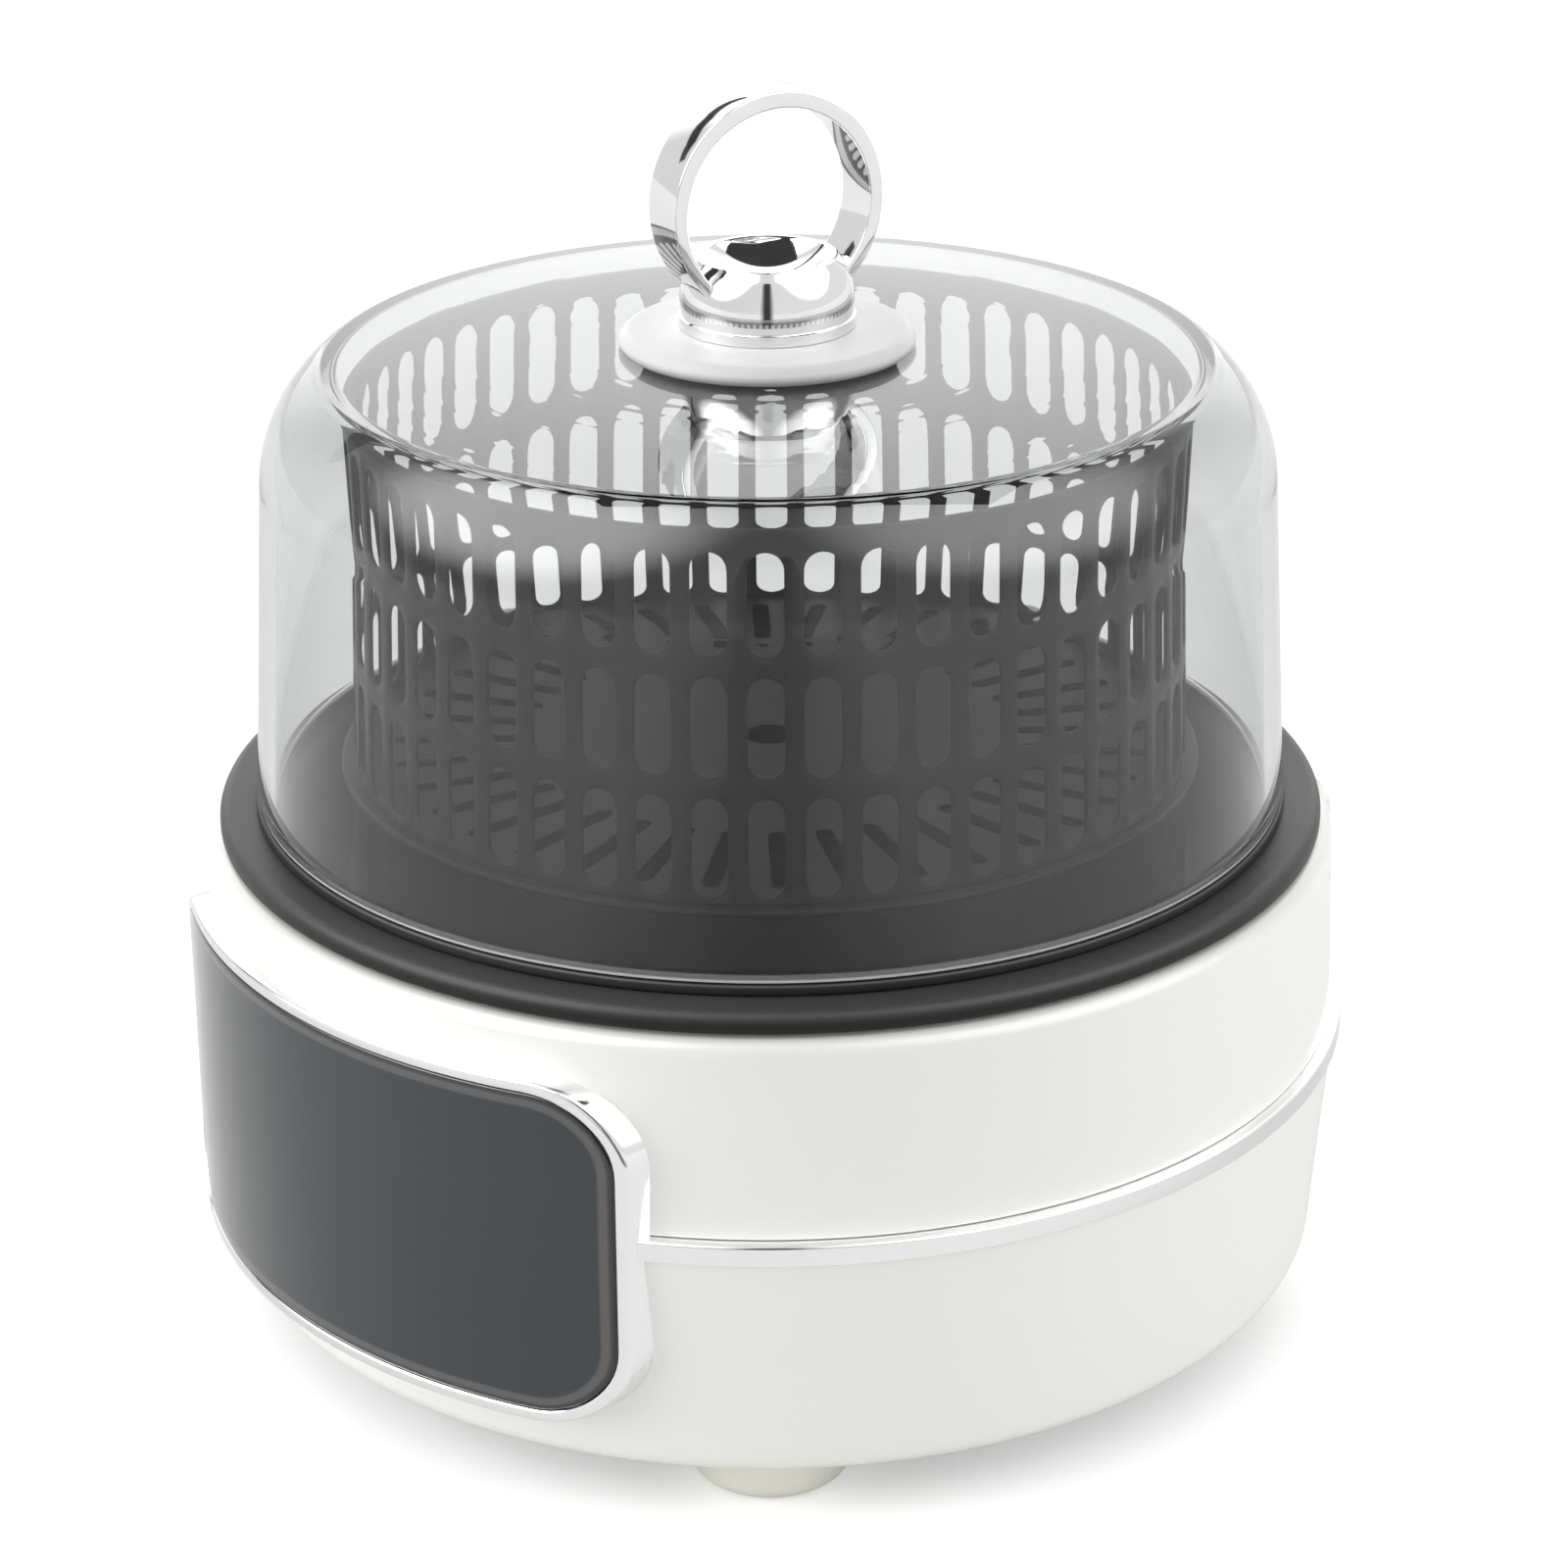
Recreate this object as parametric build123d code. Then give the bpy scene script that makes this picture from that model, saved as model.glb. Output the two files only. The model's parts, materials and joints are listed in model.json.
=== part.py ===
from build123d import *
import math
import os

# A round multicooker: a cream base with a curved control panel, a pan hung in the base,
# a perforated drum basket standing in the pan, and a glass dome that lifts off.
# The front, where the control panel is, faces -Y. The origin is on the body's axis, on the
# surface that the feet stand on. All sizes are in millimetres, all angles in degrees.
# Bearings are measured about +Z from the front, positive towards +X.

# Feet
foot_height = 11.5
foot_top_radius = 20.0
foot_tip_radius = 17.8
foot_tip_rounding = 3.5
foot_inset = 27.0
foot_bearing = 48.0
foot_recess_radius = 4.8
foot_recess_depth = 6.0

# Pan
pan_wall = 2.2
pan_mouth_radius = 114.5
pan_rim_width = 15.5
pan_depth = 66.2
pan_bottom_inset = 21.5
pan_bottom_rounding = 11.0
pan_ledge_depth = 20.2
pan_ledge_inset = 13.5
pan_ledge_width = 3.7
pan_rim_drop = 4.8
pan_rim_rounding = 2.7
pan_mouth_rounding = 5.0

# Housing shells: the body stands out past the pan's rim, and its ends are drawn in
wall = 2.8
body_margin = 5.6
base_inset = 4.6
base_edge_rounding = 7.0
lower_shell_height = 56.0
upper_foot_inset = 1.3
upper_top_inset = 2.8
upper_edge_rounding = 4.0
deck_thickness = 3.0
tongue_depth = 6.0
tongue_thickness = 1.4
seat_ring_height = 3.4
seat_ring_gap = 0.6
seat_ring_width = 7.3

# Chrome band
band_height = 5.5
band_proud = 1.4
band_root_inset = 4.1

# Bottom cover
cover_inset = 7.3
cover_thickness = 2.5
cover_ledge_width = 6.7
cover_ledge_thickness = 2.4
cover_gap = 0.3
vent_count = 24
vent_length = 22.0
vent_width = 3.0
vent_circle = 70.0

# Control panel
panel_proud = 3.0
panel_top_margin = 10.5
panel_bottom_margin = 13.6
panel_half_width = 81.0
panel_corner = 20.5
bezel_width = 2.8
bezel_ledge = 4.0
bezel_rounding = 0.8
glass_recess = 0.3
panel_glass_thickness = 1.8
panel_glass_gap = 0.1
film_thickness = 0.5
carrier_thickness = 5.7
carrier_gap = 0.3
board_setback = 25.6
board_thickness = 1.6
board_half_width = 46.0
board_margin = 14.5
board_post_inset = 7.0
board_post_radius = 3.2

# Rear housing and inlet
rear_proud = 3.0
rear_half_width = 54.0
rear_height = 42.5
rear_top_margin = 18.1
rear_corner = 9.0
rear_step = 2.0
rear_hood_height = 16.5
inlet_lift = 13.0
inlet_half_width = 13.6
inlet_half_height = 10.0
inlet_wall = 1.8
inlet_depth = 26.0
inlet_recess_depth = 17.0
inlet_flange_half_width = 25.0
inlet_flange_half_height = 11.8
inlet_flange_thickness = 2.0
inlet_screw_spacing = 40.0
pin_half_width = 2.0
pin_half_thickness = 1.0
pin_spacing = 7.0
pin_reach = 14.0

# Liner
liner_thickness = 0.8
liner_mouth_gap = 1.4
liner_pan_gap = 5.5
liner_neck_drop = 9.0
liner_slope_drop = 19.0
liner_rounding = 6.0
liner_flange_gap = 1.8
liner_hole_radius = 16.0
liner_board_gap = 3.4

# Heating
plate_gap = 0.3
plate_inset = 9.0
plate_thickness = 6.0
plate_lift = 10.7
element_inset = 22.0
element_tube_radius = 3.3
element_bed_gap = 0.05
element_end_angle = 20.0
element_leg_drop = 16.5
terminal_radius = 4.2
terminal_height = 4.0
tab_length = 7.0
plate_post_inset = 8.0
plate_post_radius = 4.5
plate_post_count = 3
fuse_radius = 3.0
fuse_length = 18.0
fuse_inset = 26.0
fuse_clip_thickness = 0.8
fuse_clip_width = 7.0

# Temperature probe
sleeve_inner_radius = 10.0
sleeve_wall = 2.0
sleeve_floor = 1.2
sleeve_top_drop = 4.0
probe_running_gap = 0.05
probe_skirt = 8.0
probe_wall = 1.6
spring_radius = 7.4
spring_wire = 1.0

# Power board
power_board_x = -48.0
power_board_length = 80.0
power_board_width = 90.0
power_board_lift = 5.0
power_board_inset = 6.0
power_part_height = 14.0

# Basket
basket_wall = 1.0
basket_stand = 31.4
basket_wall_height = 84.2
basket_foot_inset = 0.9
basket_lean = 2.8
slot_width = 7.9
slot_web = 4.0
slot_length = 22.7
slot_row_web = 4.7
slot_start = 1.6
slot_bearing = 4.85
basket_lip = 1.3
skirt_wall = 0.9
skirt_inset = 2.1
bead_width = 2.1
bead_height = 2.0
floor_thickness = 1.0
floor_slot_count = 36
floor_slot_width = 4.3
floor_slot_length = 31.0
floor_slot_margin = 9.0

# Glass dome
seal_height = 2.6
seal_width = 3.8
seal_margin = 0.4
glass_wall = 4.0
dome_margin = 6.5
dome_lean = 4.2
dome_shoulder_drop = 17.0
dome_shoulder_width = 14.8
dome_shoulder_rise = 26.0
dome_crown_rise = 2.4
dome_flat_radius = 36.0
dome_hole_radius = 3.4

# Knob, disc and ring handle
disc_radius = 34.4
disc_thickness = 4.9
collar_radius = 20.2
collar_height = 2.8
knob_foot_radius = 19.7
knob_lip_radius = 16.5
knob_lip_width = 1.8
knob_height = 16.4
knob_bulge = 1.35
knob_dish_depth = 6.4
ring_radius = 26.1
ring_thickness = 3.2
ring_crown = 0.6
ring_width = 13.8
ring_chamfer = 0.4
ring_foot_height = 2.6
ring_bearing = 75.2
stud_radius = 3.0
stud_in_knob = 7.0
washer_radius = 9.0
washer_thickness = 1.5
nut_radius = 6.2
nut_height = 5.0
stud_end = 1.0

# Screws
screw_radius = 1.6
screw_head_radius = 3.0
screw_head_height = 2.2
screw_boss_radius = 4.0
screw_clearance = 0.3

# Levels above the surface that the feet stand on, from the cover up to the pan
z_cover = foot_height
z_cover_top = z_cover + cover_thickness
z_ledge_top = z_cover_top + cover_ledge_thickness
z_power_board = z_cover_top + power_board_lift
z_power_parts = z_power_board + board_thickness
liner_bottom = z_power_parts + power_part_height + liner_board_gap
z_liner_floor = liner_bottom + liner_thickness
z_plate = z_liner_floor + plate_lift
z_plate_top = z_plate + plate_thickness
z_pan_under = z_plate_top + plate_gap
z_pan_floor = z_pan_under + pan_wall
z_rim = z_pan_floor + pan_depth
z_pan_ledge = z_rim - pan_ledge_depth

# Levels of the housing, hung from the pan's rim
z_seat = z_rim - pan_wall
z_deck = z_seat - seat_ring_height
z_deck_under = z_deck - deck_thickness
z_band = z_cover + lower_shell_height
z_upper = z_band + band_height
z_panel_low = z_cover + panel_bottom_margin
z_panel_high = z_deck - panel_top_margin
panel_mid_height = (z_panel_low + z_panel_high) / 2
panel_half_height = (z_panel_high - z_panel_low) / 2
board_half_height = panel_half_height - board_margin
rear_top = z_deck - rear_top_margin
rear_bottom = rear_top - rear_height
inlet_height = rear_bottom + inlet_lift

# Levels of the basket and of the lid
z_bead = z_pan_ledge + basket_stand
z_glass = z_rim + seal_height
z_shoulder = z_bead + basket_wall_height - dome_shoulder_drop
z_crease = z_shoulder + dome_shoulder_rise
z_dome_top = z_crease + dome_crown_rise
z_disc_top = z_dome_top + disc_thickness
z_knob_top = z_disc_top + knob_height
z_ring = z_disc_top + ring_foot_height + ring_radius

# Radii, from the pan outwards
pan_rim_radius = pan_mouth_radius + pan_rim_width
pan_bottom_radius = pan_mouth_radius - pan_bottom_inset
pan_ledge_outer_radius = pan_mouth_radius - pan_ledge_inset
pan_ledge_inner_radius = pan_ledge_outer_radius - pan_ledge_width
body_radius = pan_rim_radius + body_margin
base_radius = body_radius - base_inset
upper_foot_radius = body_radius - upper_foot_inset
upper_top_radius = body_radius - upper_top_inset
band_radius = body_radius + band_proud
band_root_radius = body_radius - band_root_inset
seat_ring_outer_radius = pan_rim_radius - pan_wall - seat_ring_gap
seat_ring_inner_radius = seat_ring_outer_radius - seat_ring_width
cover_radius = base_radius - cover_inset
foot_circle = base_radius - foot_inset
panel_reach = body_radius + panel_proud
rear_reach = body_radius + rear_proud
board_distance = panel_reach - board_setback
slab_near = body_radius - 75
slab_far = body_radius + 25

# Radii, from the pan inwards and upwards
liner_top_radius = seat_ring_inner_radius - liner_mouth_gap
liner_low_radius = pan_ledge_outer_radius + liner_pan_gap
liner_flange_radius = upper_top_radius - wall - liner_flange_gap
plate_radius = pan_bottom_radius - plate_inset
element_radius = plate_radius - element_inset
plate_post_circle = plate_radius - plate_post_inset
fuse_offset = element_radius - fuse_inset
skirt_radius = pan_ledge_outer_radius - skirt_inset
bead_radius = skirt_radius + bead_width
basket_foot_radius = skirt_radius - basket_foot_inset
basket_top_radius = basket_foot_radius - basket_lean
floor_slot_outer = basket_foot_radius - floor_slot_margin
floor_slot_inner = floor_slot_outer - floor_slot_length
dome_foot_radius = pan_mouth_radius + dome_margin
dome_shoulder_radius = dome_foot_radius - dome_lean
dome_crease_radius = dome_shoulder_radius - dome_shoulder_width
seal_outer_radius = dome_foot_radius + seal_margin
seal_inner_radius = seal_outer_radius - seal_width

# Slot pattern of the drum: as many as its wall has room for
slot_pitch = slot_length + slot_row_web
slot_rows = int((basket_wall_height - basket_lip - slot_start + slot_row_web) / slot_pitch)
slot_columns = int(2 * math.pi * basket_top_radius / (slot_width + slot_web))


def at_bearing(radius, bearing, height=0.0):
    """A point at a bearing from the front."""
    angle = math.radians(bearing)
    return (radius * math.sin(angle), -radius * math.cos(angle), height)


def closed_outline(corners):
    """Closed outline in the radius and height plane. A corner is (radius, height) or
    (radius, height, rounding)."""
    count = len(corners)
    bends = []
    for index, corner in enumerate(corners):
        here = Vector(corner[0], 0, corner[1])
        if len(corner) == 2:
            bends.append((here, None, here))
            continue
        before = Vector(corners[index - 1][0], 0, corners[index - 1][1])
        after = Vector(corners[(index + 1) % count][0], 0, corners[(index + 1) % count][1])
        back = (before - here).normalized()
        ahead = (after - here).normalized()
        half_angle = math.radians(back.get_angle(ahead)) / 2
        reach = corner[2] / math.tan(half_angle)
        middle = (back + ahead).normalized()
        inner = here + middle * (corner[2] / math.sin(half_angle) - corner[2])
        bends.append((here + back * reach, inner, here + ahead * reach))
    edges = []
    for index, (start, inner, end) in enumerate(bends):
        if inner is not None:
            edges.append(ThreePointArc(start, inner, end))
        following = bends[(index + 1) % count][0]
        edges.append(Line(end, following))
    return edges


def turned(corners):
    """A solid of revolution about the body's axis."""
    return revolve(make_face(Wire(closed_outline(corners))), Axis.Z)


def turned_edges(edges):
    """A solid of revolution from edges in the radius and height plane."""
    return revolve(make_face(Wire(edges)), Axis.Z)


def tube(outer, inner, low, high):
    """An upright tube on the body's axis."""
    return turned([(inner, low), (outer, low), (outer, high), (inner, high)])


def post(radius, low, high, place=(0, 0, 0)):
    """An upright round post."""
    spot = (place[0], place[1], low)
    return extrude(Plane(origin=spot, z_dir=(0, 0, 1)) * Circle(radius), amount=high - low)


def block(low, high):
    """A block from its lowest corner to its highest."""
    size = [high[axis] - low[axis] for axis in range(3)]
    middle = [(high[axis] + low[axis]) / 2 for axis in range(3)]
    return Pos(*middle) * Box(*size)


def front_slab(half_width, half_height, corner):
    """A rounded oblong, square to the front, that runs out through the housing's wall."""
    plane = Plane(origin=(0, -slab_near, panel_mid_height), x_dir=(1, 0, 0), z_dir=(0, -1, 0))
    shape = plane * RectangleRounded(2 * half_width, 2 * half_height, corner)
    return extrude(shape, amount=slab_far - slab_near)


def rear_slab(half_width, low, high, corner, near, far):
    """A rounded oblong, square to the back, from a near to a far distance behind."""
    plane = Plane(origin=(0, near, (low + high) / 2), x_dir=(-1, 0, 0), z_dir=(0, 1, 0))
    shape = plane * RectangleRounded(2 * half_width, high - low, corner)
    return extrude(shape, amount=far - near)


def across(radius, start, end):
    """A round bar between two points."""
    axis = Vector(*end) - Vector(*start)
    return extrude(Plane(origin=start, z_dir=axis) * Circle(radius), amount=axis.length)


def save(name, *shapes):
    """Writes one sub-part."""
    solids = [solid for shape in shapes for solid in shape.solids()]
    export_step(Compound(solids) if len(solids) > 1 else solids[0], f"parts/{name}.step")


def screw_up(place, seat, length):
    """A screw driven upwards: its head lies under the seat height."""
    head = post(screw_head_radius, seat - screw_head_height, seat, place)
    slot = block(
        (place[0] - screw_head_radius, place[1] - 0.4, seat - screw_head_height),
        (place[0] + screw_head_radius, place[1] + 0.4, seat - screw_head_height + 0.9),
    )
    return head - slot + post(screw_radius, seat, seat + length, place)


def screw_down(place, seat, length):
    """A screw driven downwards: its head lies on the seat height."""
    head = post(screw_head_radius, seat, seat + screw_head_height, place)
    slot = block(
        (place[0] - screw_head_radius, place[1] - 0.4, seat + screw_head_height - 0.9),
        (place[0] + screw_head_radius, place[1] + 0.4, seat + screw_head_height),
    )
    return head - slot + post(screw_radius, seat - length, seat, place)


os.makedirs("parts", exist_ok=True)

# The body's outside without its band: what the bezel and the rear housing sit against
body_outside = turned(
    [
        (0, z_cover),
        (base_radius, z_cover, base_edge_rounding),
        (body_radius, z_band),
        (upper_foot_radius, z_upper),
        (upper_top_radius, z_deck, upper_edge_rounding),
        (0, z_deck),
    ]
)
opening_half_width = panel_half_width - bezel_width - bezel_ledge
opening_half_height = panel_half_height - bezel_width - bezel_ledge
opening_corner = panel_corner - bezel_width - bezel_ledge
panel_opening = front_slab(opening_half_width, opening_half_height, opening_corner)
inlet_opening = rear_slab(
    inlet_half_width + cover_gap,
    inlet_height - inlet_half_height - cover_gap,
    inlet_height + inlet_half_height + cover_gap,
    inlet_wall,
    liner_low_radius,
    slab_far,
)

# Screw places
cover_screw_radius = cover_radius - cover_ledge_width / 2 - 0.85
cover_screw_length = 11.0
cover_screw_places = [at_bearing(cover_screw_radius, bearing) for bearing in (0, 90, 180, 270)]
foot_bearings = {
    "foot_front_left": -foot_bearing,
    "foot_front_right": foot_bearing,
    "foot_rear_right": 180 - foot_bearing,
    "foot_rear_left": 180 + foot_bearing,
}
foot_places = {name: at_bearing(foot_circle, bearing) for name, bearing in foot_bearings.items()}
foot_screw_length = 12.0
liner_screw_circle = (seat_ring_inner_radius + liner_flange_radius) / 2
liner_screw_places = [at_bearing(liner_screw_circle, bearing) for bearing in (60, 120, 240, 300)]
liner_screw_length = deck_thickness - liner_thickness + 2.4


def make_lower_shell():
    """Lower housing shell with a ledge for the cover and screw bosses."""
    ledge_inner = cover_radius + cover_gap - cover_ledge_width - cover_gap
    shell = turned(
        [
            (cover_radius + cover_gap, z_cover),
            (base_radius, z_cover, base_edge_rounding),
            (body_radius, z_band),
            (body_radius - wall, z_band),
            (base_radius - wall, z_ledge_top, base_edge_rounding - wall),
            (ledge_inner, z_ledge_top),
            (ledge_inner, z_cover_top),
            (cover_radius + cover_gap, z_cover_top),
        ]
    )
    boss_top = z_cover + cover_screw_length + 2
    for place in cover_screw_places:
        shell += post(screw_boss_radius, z_ledge_top, boss_top, place)
        shell -= post(screw_radius, z_cover_top - 1, z_cover + cover_screw_length, place)
    return shell - panel_opening - inlet_opening


def make_upper_shell():
    """Upper housing shell: wall, deck, ring under the pan's rim, tongue into the lower shell."""
    tongue_outer = band_root_radius - cover_gap
    tongue_inner = tongue_outer - tongue_thickness
    shell = turned(
        [
            (upper_foot_radius, z_upper),
            (upper_top_radius, z_deck, upper_edge_rounding),
            (seat_ring_outer_radius, z_deck, 0.6),
            (seat_ring_outer_radius, z_seat, 0.5),
            (seat_ring_inner_radius, z_seat, 0.5),
            (seat_ring_inner_radius, z_deck_under),
            (upper_top_radius - wall, z_deck_under, 1.2),
            (upper_foot_radius - wall, z_upper + tongue_depth + 1.5),
            (tongue_inner, z_upper + tongue_depth),
            (tongue_inner, z_band - tongue_depth),
            (tongue_outer, z_band - tongue_depth),
            (tongue_outer, z_upper),
        ]
    )
    for place in liner_screw_places:
        shell -= post(screw_radius, z_deck_under - 1, z_deck_under + liner_screw_length, place)
    return shell - panel_opening - inlet_opening


def make_band():
    """Chrome band, broken at the control panel and at the rear housing."""
    ring = turned(
        [
            (band_root_radius, z_band),
            (band_radius - 0.6, z_band),
            (band_radius, z_band + 0.6),
            (band_radius, z_upper - 0.6),
            (band_radius - 0.6, z_upper),
            (band_root_radius, z_upper),
        ]
    )
    ring -= front_slab(panel_half_width, panel_half_height, panel_corner)
    gap = rear_slab(rear_half_width, rear_bottom, rear_top, rear_corner, slab_near, slab_far)
    return ring - gap


def make_bottom_cover():
    """Bottom cover with vents, foot bosses and board posts."""
    cover = tube(cover_radius, 0.0, z_cover, z_cover_top)
    for place in foot_places.values():
        cover += post(screw_boss_radius + 1, z_cover_top, z_cover_top + 8, place)
        cover -= post(screw_radius, z_cover - 1, foot_recess_depth + foot_screw_length, place)
    for place in board_post_places():
        cover += post(screw_boss_radius, z_cover_top, z_power_board, place)
        cover -= post(screw_radius, z_cover + 1, z_power_board + 1, place)
    for place in cover_screw_places:
        cover -= post(screw_radius + screw_clearance, z_cover - 1, z_cover_top + 1, place)
    for index in range(vent_count):
        bearing = index * 360 / vent_count + 180 / vent_count
        if abs(bearing % 90 - 45) < 12:
            continue
        spot = at_bearing(vent_circle, bearing, z_cover - 1)
        plane = Plane(origin=spot, x_dir=at_bearing(1, bearing), z_dir=(0, 0, 1))
        cover -= extrude(plane * SlotOverall(vent_length, vent_width), amount=cover_thickness + 2)
    return cover


def board_post_places():
    """Where the power board is screwed down."""
    half_x = power_board_length / 2 - power_board_inset
    half_y = power_board_width / 2 - power_board_inset
    signs = [(a, b) for a in (-1, 1) for b in (-1, 1)]
    return [(power_board_x + a * half_x, b * half_y, 0) for a, b in signs]


def make_foot(place):
    """One tapered foot with a recess for its screw."""
    foot = turned(
        [
            (screw_radius + screw_clearance, foot_recess_depth),
            (foot_recess_radius, foot_recess_depth),
            (foot_recess_radius, 0),
            (foot_tip_radius, 0, foot_tip_rounding),
            (foot_top_radius, foot_height),
            (screw_radius + screw_clearance, foot_height),
        ]
    )
    return Pos(place[0], place[1], 0) * foot


def panel_layer(outer, inner, inset, corner):
    """A curved layer of the control panel between two radii, inset from the bezel's outline."""
    slab = front_slab(panel_half_width - inset, panel_half_height - inset, corner)
    low = panel_mid_height - panel_half_height - 5
    high = panel_mid_height + panel_half_height + 5
    return slab & tube(outer, inner, low, high)


glass_outer = panel_reach - glass_recess
glass_inner = glass_outer - panel_glass_thickness
film_inner = glass_inner - film_thickness
carrier_inner = film_inner - carrier_thickness
carrier_inset = bezel_width + bezel_ledge + carrier_gap


def make_bezel():
    """Chrome frame that stands out of the housing, with a ledge behind the glass."""
    frame = panel_layer(panel_reach, slab_near, 0, panel_corner) - body_outside
    lip = [edge for edge in frame.edges() if on_front_lip(edge)]
    frame = fillet(lip, min(bezel_rounding, panel_proud / 3))
    pocket_corner = panel_corner - bezel_width
    pocket = panel_layer(panel_reach + 5, glass_inner, bezel_width, pocket_corner)
    return frame - pocket - panel_opening


def on_front_lip(edge):
    """True for the edges of the bezel's front face."""
    middle = edge.position_at(0.5)
    return abs(math.hypot(middle.X, middle.Y) - panel_reach) < 0.01


def make_carrier():
    """Moulded carrier behind the touch film, with posts for the control board."""
    carrier = panel_layer(film_inner, carrier_inner, carrier_inset, panel_corner - carrier_inset)
    window = panel_layer(
        film_inner + 1, carrier_inner - 1, carrier_inset + 12, panel_corner - carrier_inset - 8
    )
    carrier -= window
    for place in control_post_places():
        start = (place[0], -board_distance - board_thickness, place[2])
        end = (place[0], -carrier_inner + 2, place[2])
        carrier += across(board_post_radius, start, end)
        arm_low = (place[0] - 1.5, -film_inner + 9, panel_mid_height)
        arm_high = (place[0] + 1.5, -carrier_inner + 9, panel_mid_height)
        carrier += carrier_arm(place, arm_low, arm_high)
    inside = tube(film_inner, slab_near, 0, z_deck)
    pilot_start = -board_distance - board_thickness + 0.5
    carrier = carrier & inside
    for place in control_post_places():
        start = (place[0], pilot_start, place[2])
        end = (place[0], pilot_start - 7, place[2])
        carrier -= across(screw_radius, start, end)
    return carrier


def carrier_arm(place, low, high):
    """A rib that joins a post to the carrier's frame."""
    edge_height = panel_half_height - carrier_inset - 6
    side = 1 if place[2] > panel_mid_height else -1
    tip = panel_mid_height + side * edge_height
    heights = sorted((place[2], tip))
    return block((low[0], low[1], heights[0]), (high[0], high[1] - 2, heights[1]))


def control_post_places():
    """Centres of the control board's posts, as (x, unused, z)."""
    half_x = board_half_width - board_post_inset
    half_z = board_half_height - board_post_inset
    signs = [(a, b) for a in (-1, 1) for b in (-1, 1)]
    return [(a * half_x, 0, panel_mid_height + b * half_z) for a, b in signs]


def make_control_board():
    """Flat board that reads the touch film, with screw holes."""
    board = block(
        (-board_half_width, -board_distance - board_thickness, panel_mid_height - board_half_height),
        (board_half_width, -board_distance, panel_mid_height + board_half_height),
    )
    for place in control_post_places():
        start = (place[0], -board_distance + 1, place[2])
        end = (place[0], -board_distance - board_thickness - 1, place[2])
        board -= across(screw_radius, start, end)
    return board


def make_control_board_parts():
    """Chip, connector and buzzer on the board's inner face."""
    face = -board_distance
    middle = panel_mid_height
    chip = block((-8, face, middle - 8), (8, face + 1.6, middle + 8))
    connector = block((18, face, middle - 5), (32, face + 4.5, middle + 5))
    buzzer = across(6, (-24, face, middle), (-24, face + 4.2, middle))
    return [chip, connector, buzzer]


def make_control_screws():
    """Screws that hold the control board to the carrier's posts."""
    screws = []
    for place in control_post_places():
        seat = (place[0], -board_distance, place[2])
        head = across(screw_head_radius, seat, (place[0], -board_distance + 2, place[2]))
        shank = across(screw_radius, seat, (place[0], -board_distance - 7, place[2]))
        screws.append(head + shank)
    return screws


def make_rear_housing():
    """Pod on the back of the housing that holds the inlet, with a hood along its top."""
    back = rear_reach - rear_step
    pod_top = rear_top - 4
    pod = rear_slab(rear_half_width, rear_bottom, pod_top, rear_corner, slab_near, back)
    hood_low = rear_top - rear_hood_height
    hood_corner = rear_hood_height / 2 - 0.5
    hood_half_width = rear_half_width + rear_step
    hood = rear_slab(hood_half_width, hood_low, rear_top, hood_corner, slab_near, rear_reach)
    hollow = rear_slab(
        rear_half_width - wall,
        rear_bottom + wall,
        pod_top - wall,
        rear_corner - wall,
        slab_near - 10,
        back - wall,
    )
    socket_hole = rear_slab(
        inlet_half_width,
        inlet_height - inlet_half_height,
        inlet_height + inlet_half_height,
        inlet_wall,
        back - wall - 5,
        back + 5,
    )
    housing = pod + hood - hollow - body_outside - socket_hole
    for side in (-1, 1):
        x = side * inlet_screw_spacing / 2
        housing -= across(screw_radius, (x, back - wall - 1, inlet_height), (x, back + 1, inlet_height))
    return housing


def make_inlet_socket():
    """Appliance inlet: flange on the pod's back, recess and a rear wall that holds the pins."""
    back = rear_reach - rear_step
    face = back + inlet_flange_thickness
    low = inlet_height - inlet_half_height
    high = inlet_height + inlet_half_height
    socket = rear_slab(inlet_half_width, low, high, inlet_wall, face - inlet_depth, face)
    flange = rear_slab(
        inlet_flange_half_width,
        inlet_height - inlet_flange_half_height,
        inlet_height + inlet_flange_half_height,
        5.0,
        back,
        face,
    )
    recess = rear_slab(
        inlet_half_width - inlet_wall,
        low + inlet_wall,
        high - inlet_wall,
        3.0,
        face - inlet_recess_depth,
        face + 5,
    )
    socket = socket + flange - recess
    for pin in make_inlet_pins():
        socket -= pin
    for side in (-1, 1):
        x = side * inlet_screw_spacing / 2
        radius = screw_radius + screw_clearance
        socket -= across(radius, (x, back - 1, inlet_height), (x, face + 1, inlet_height))
    return socket


def make_inlet_pins():
    """Three flat pins through the socket's rear wall."""
    face = rear_reach - rear_step + inlet_flange_thickness
    root = face - inlet_recess_depth
    tail = face - inlet_depth - 2.0
    pins = []
    for place in (-pin_spacing, 0, pin_spacing):
        lift = 2.0 if place == 0 else -1.5
        low = (place - pin_half_thickness, tail, inlet_height + lift - pin_half_width)
        high = (place + pin_half_thickness, root + pin_reach, inlet_height + lift + pin_half_width)
        pins.append(block(low, high))
    return pins


def make_inlet_screws():
    """Two screws through the socket's flange into the pod."""
    back = rear_reach - rear_step
    face = back + inlet_flange_thickness
    screws = []
    for side in (-1, 1):
        x = side * inlet_screw_spacing / 2
        step = (x, face - 0.6, inlet_height)
        sunk = across(screw_radius + screw_clearance, (x, face, inlet_height), step)
        shank = across(screw_radius, step, (x, back - wall, inlet_height))
        screws.append(sunk + shank)
    return screws


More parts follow.
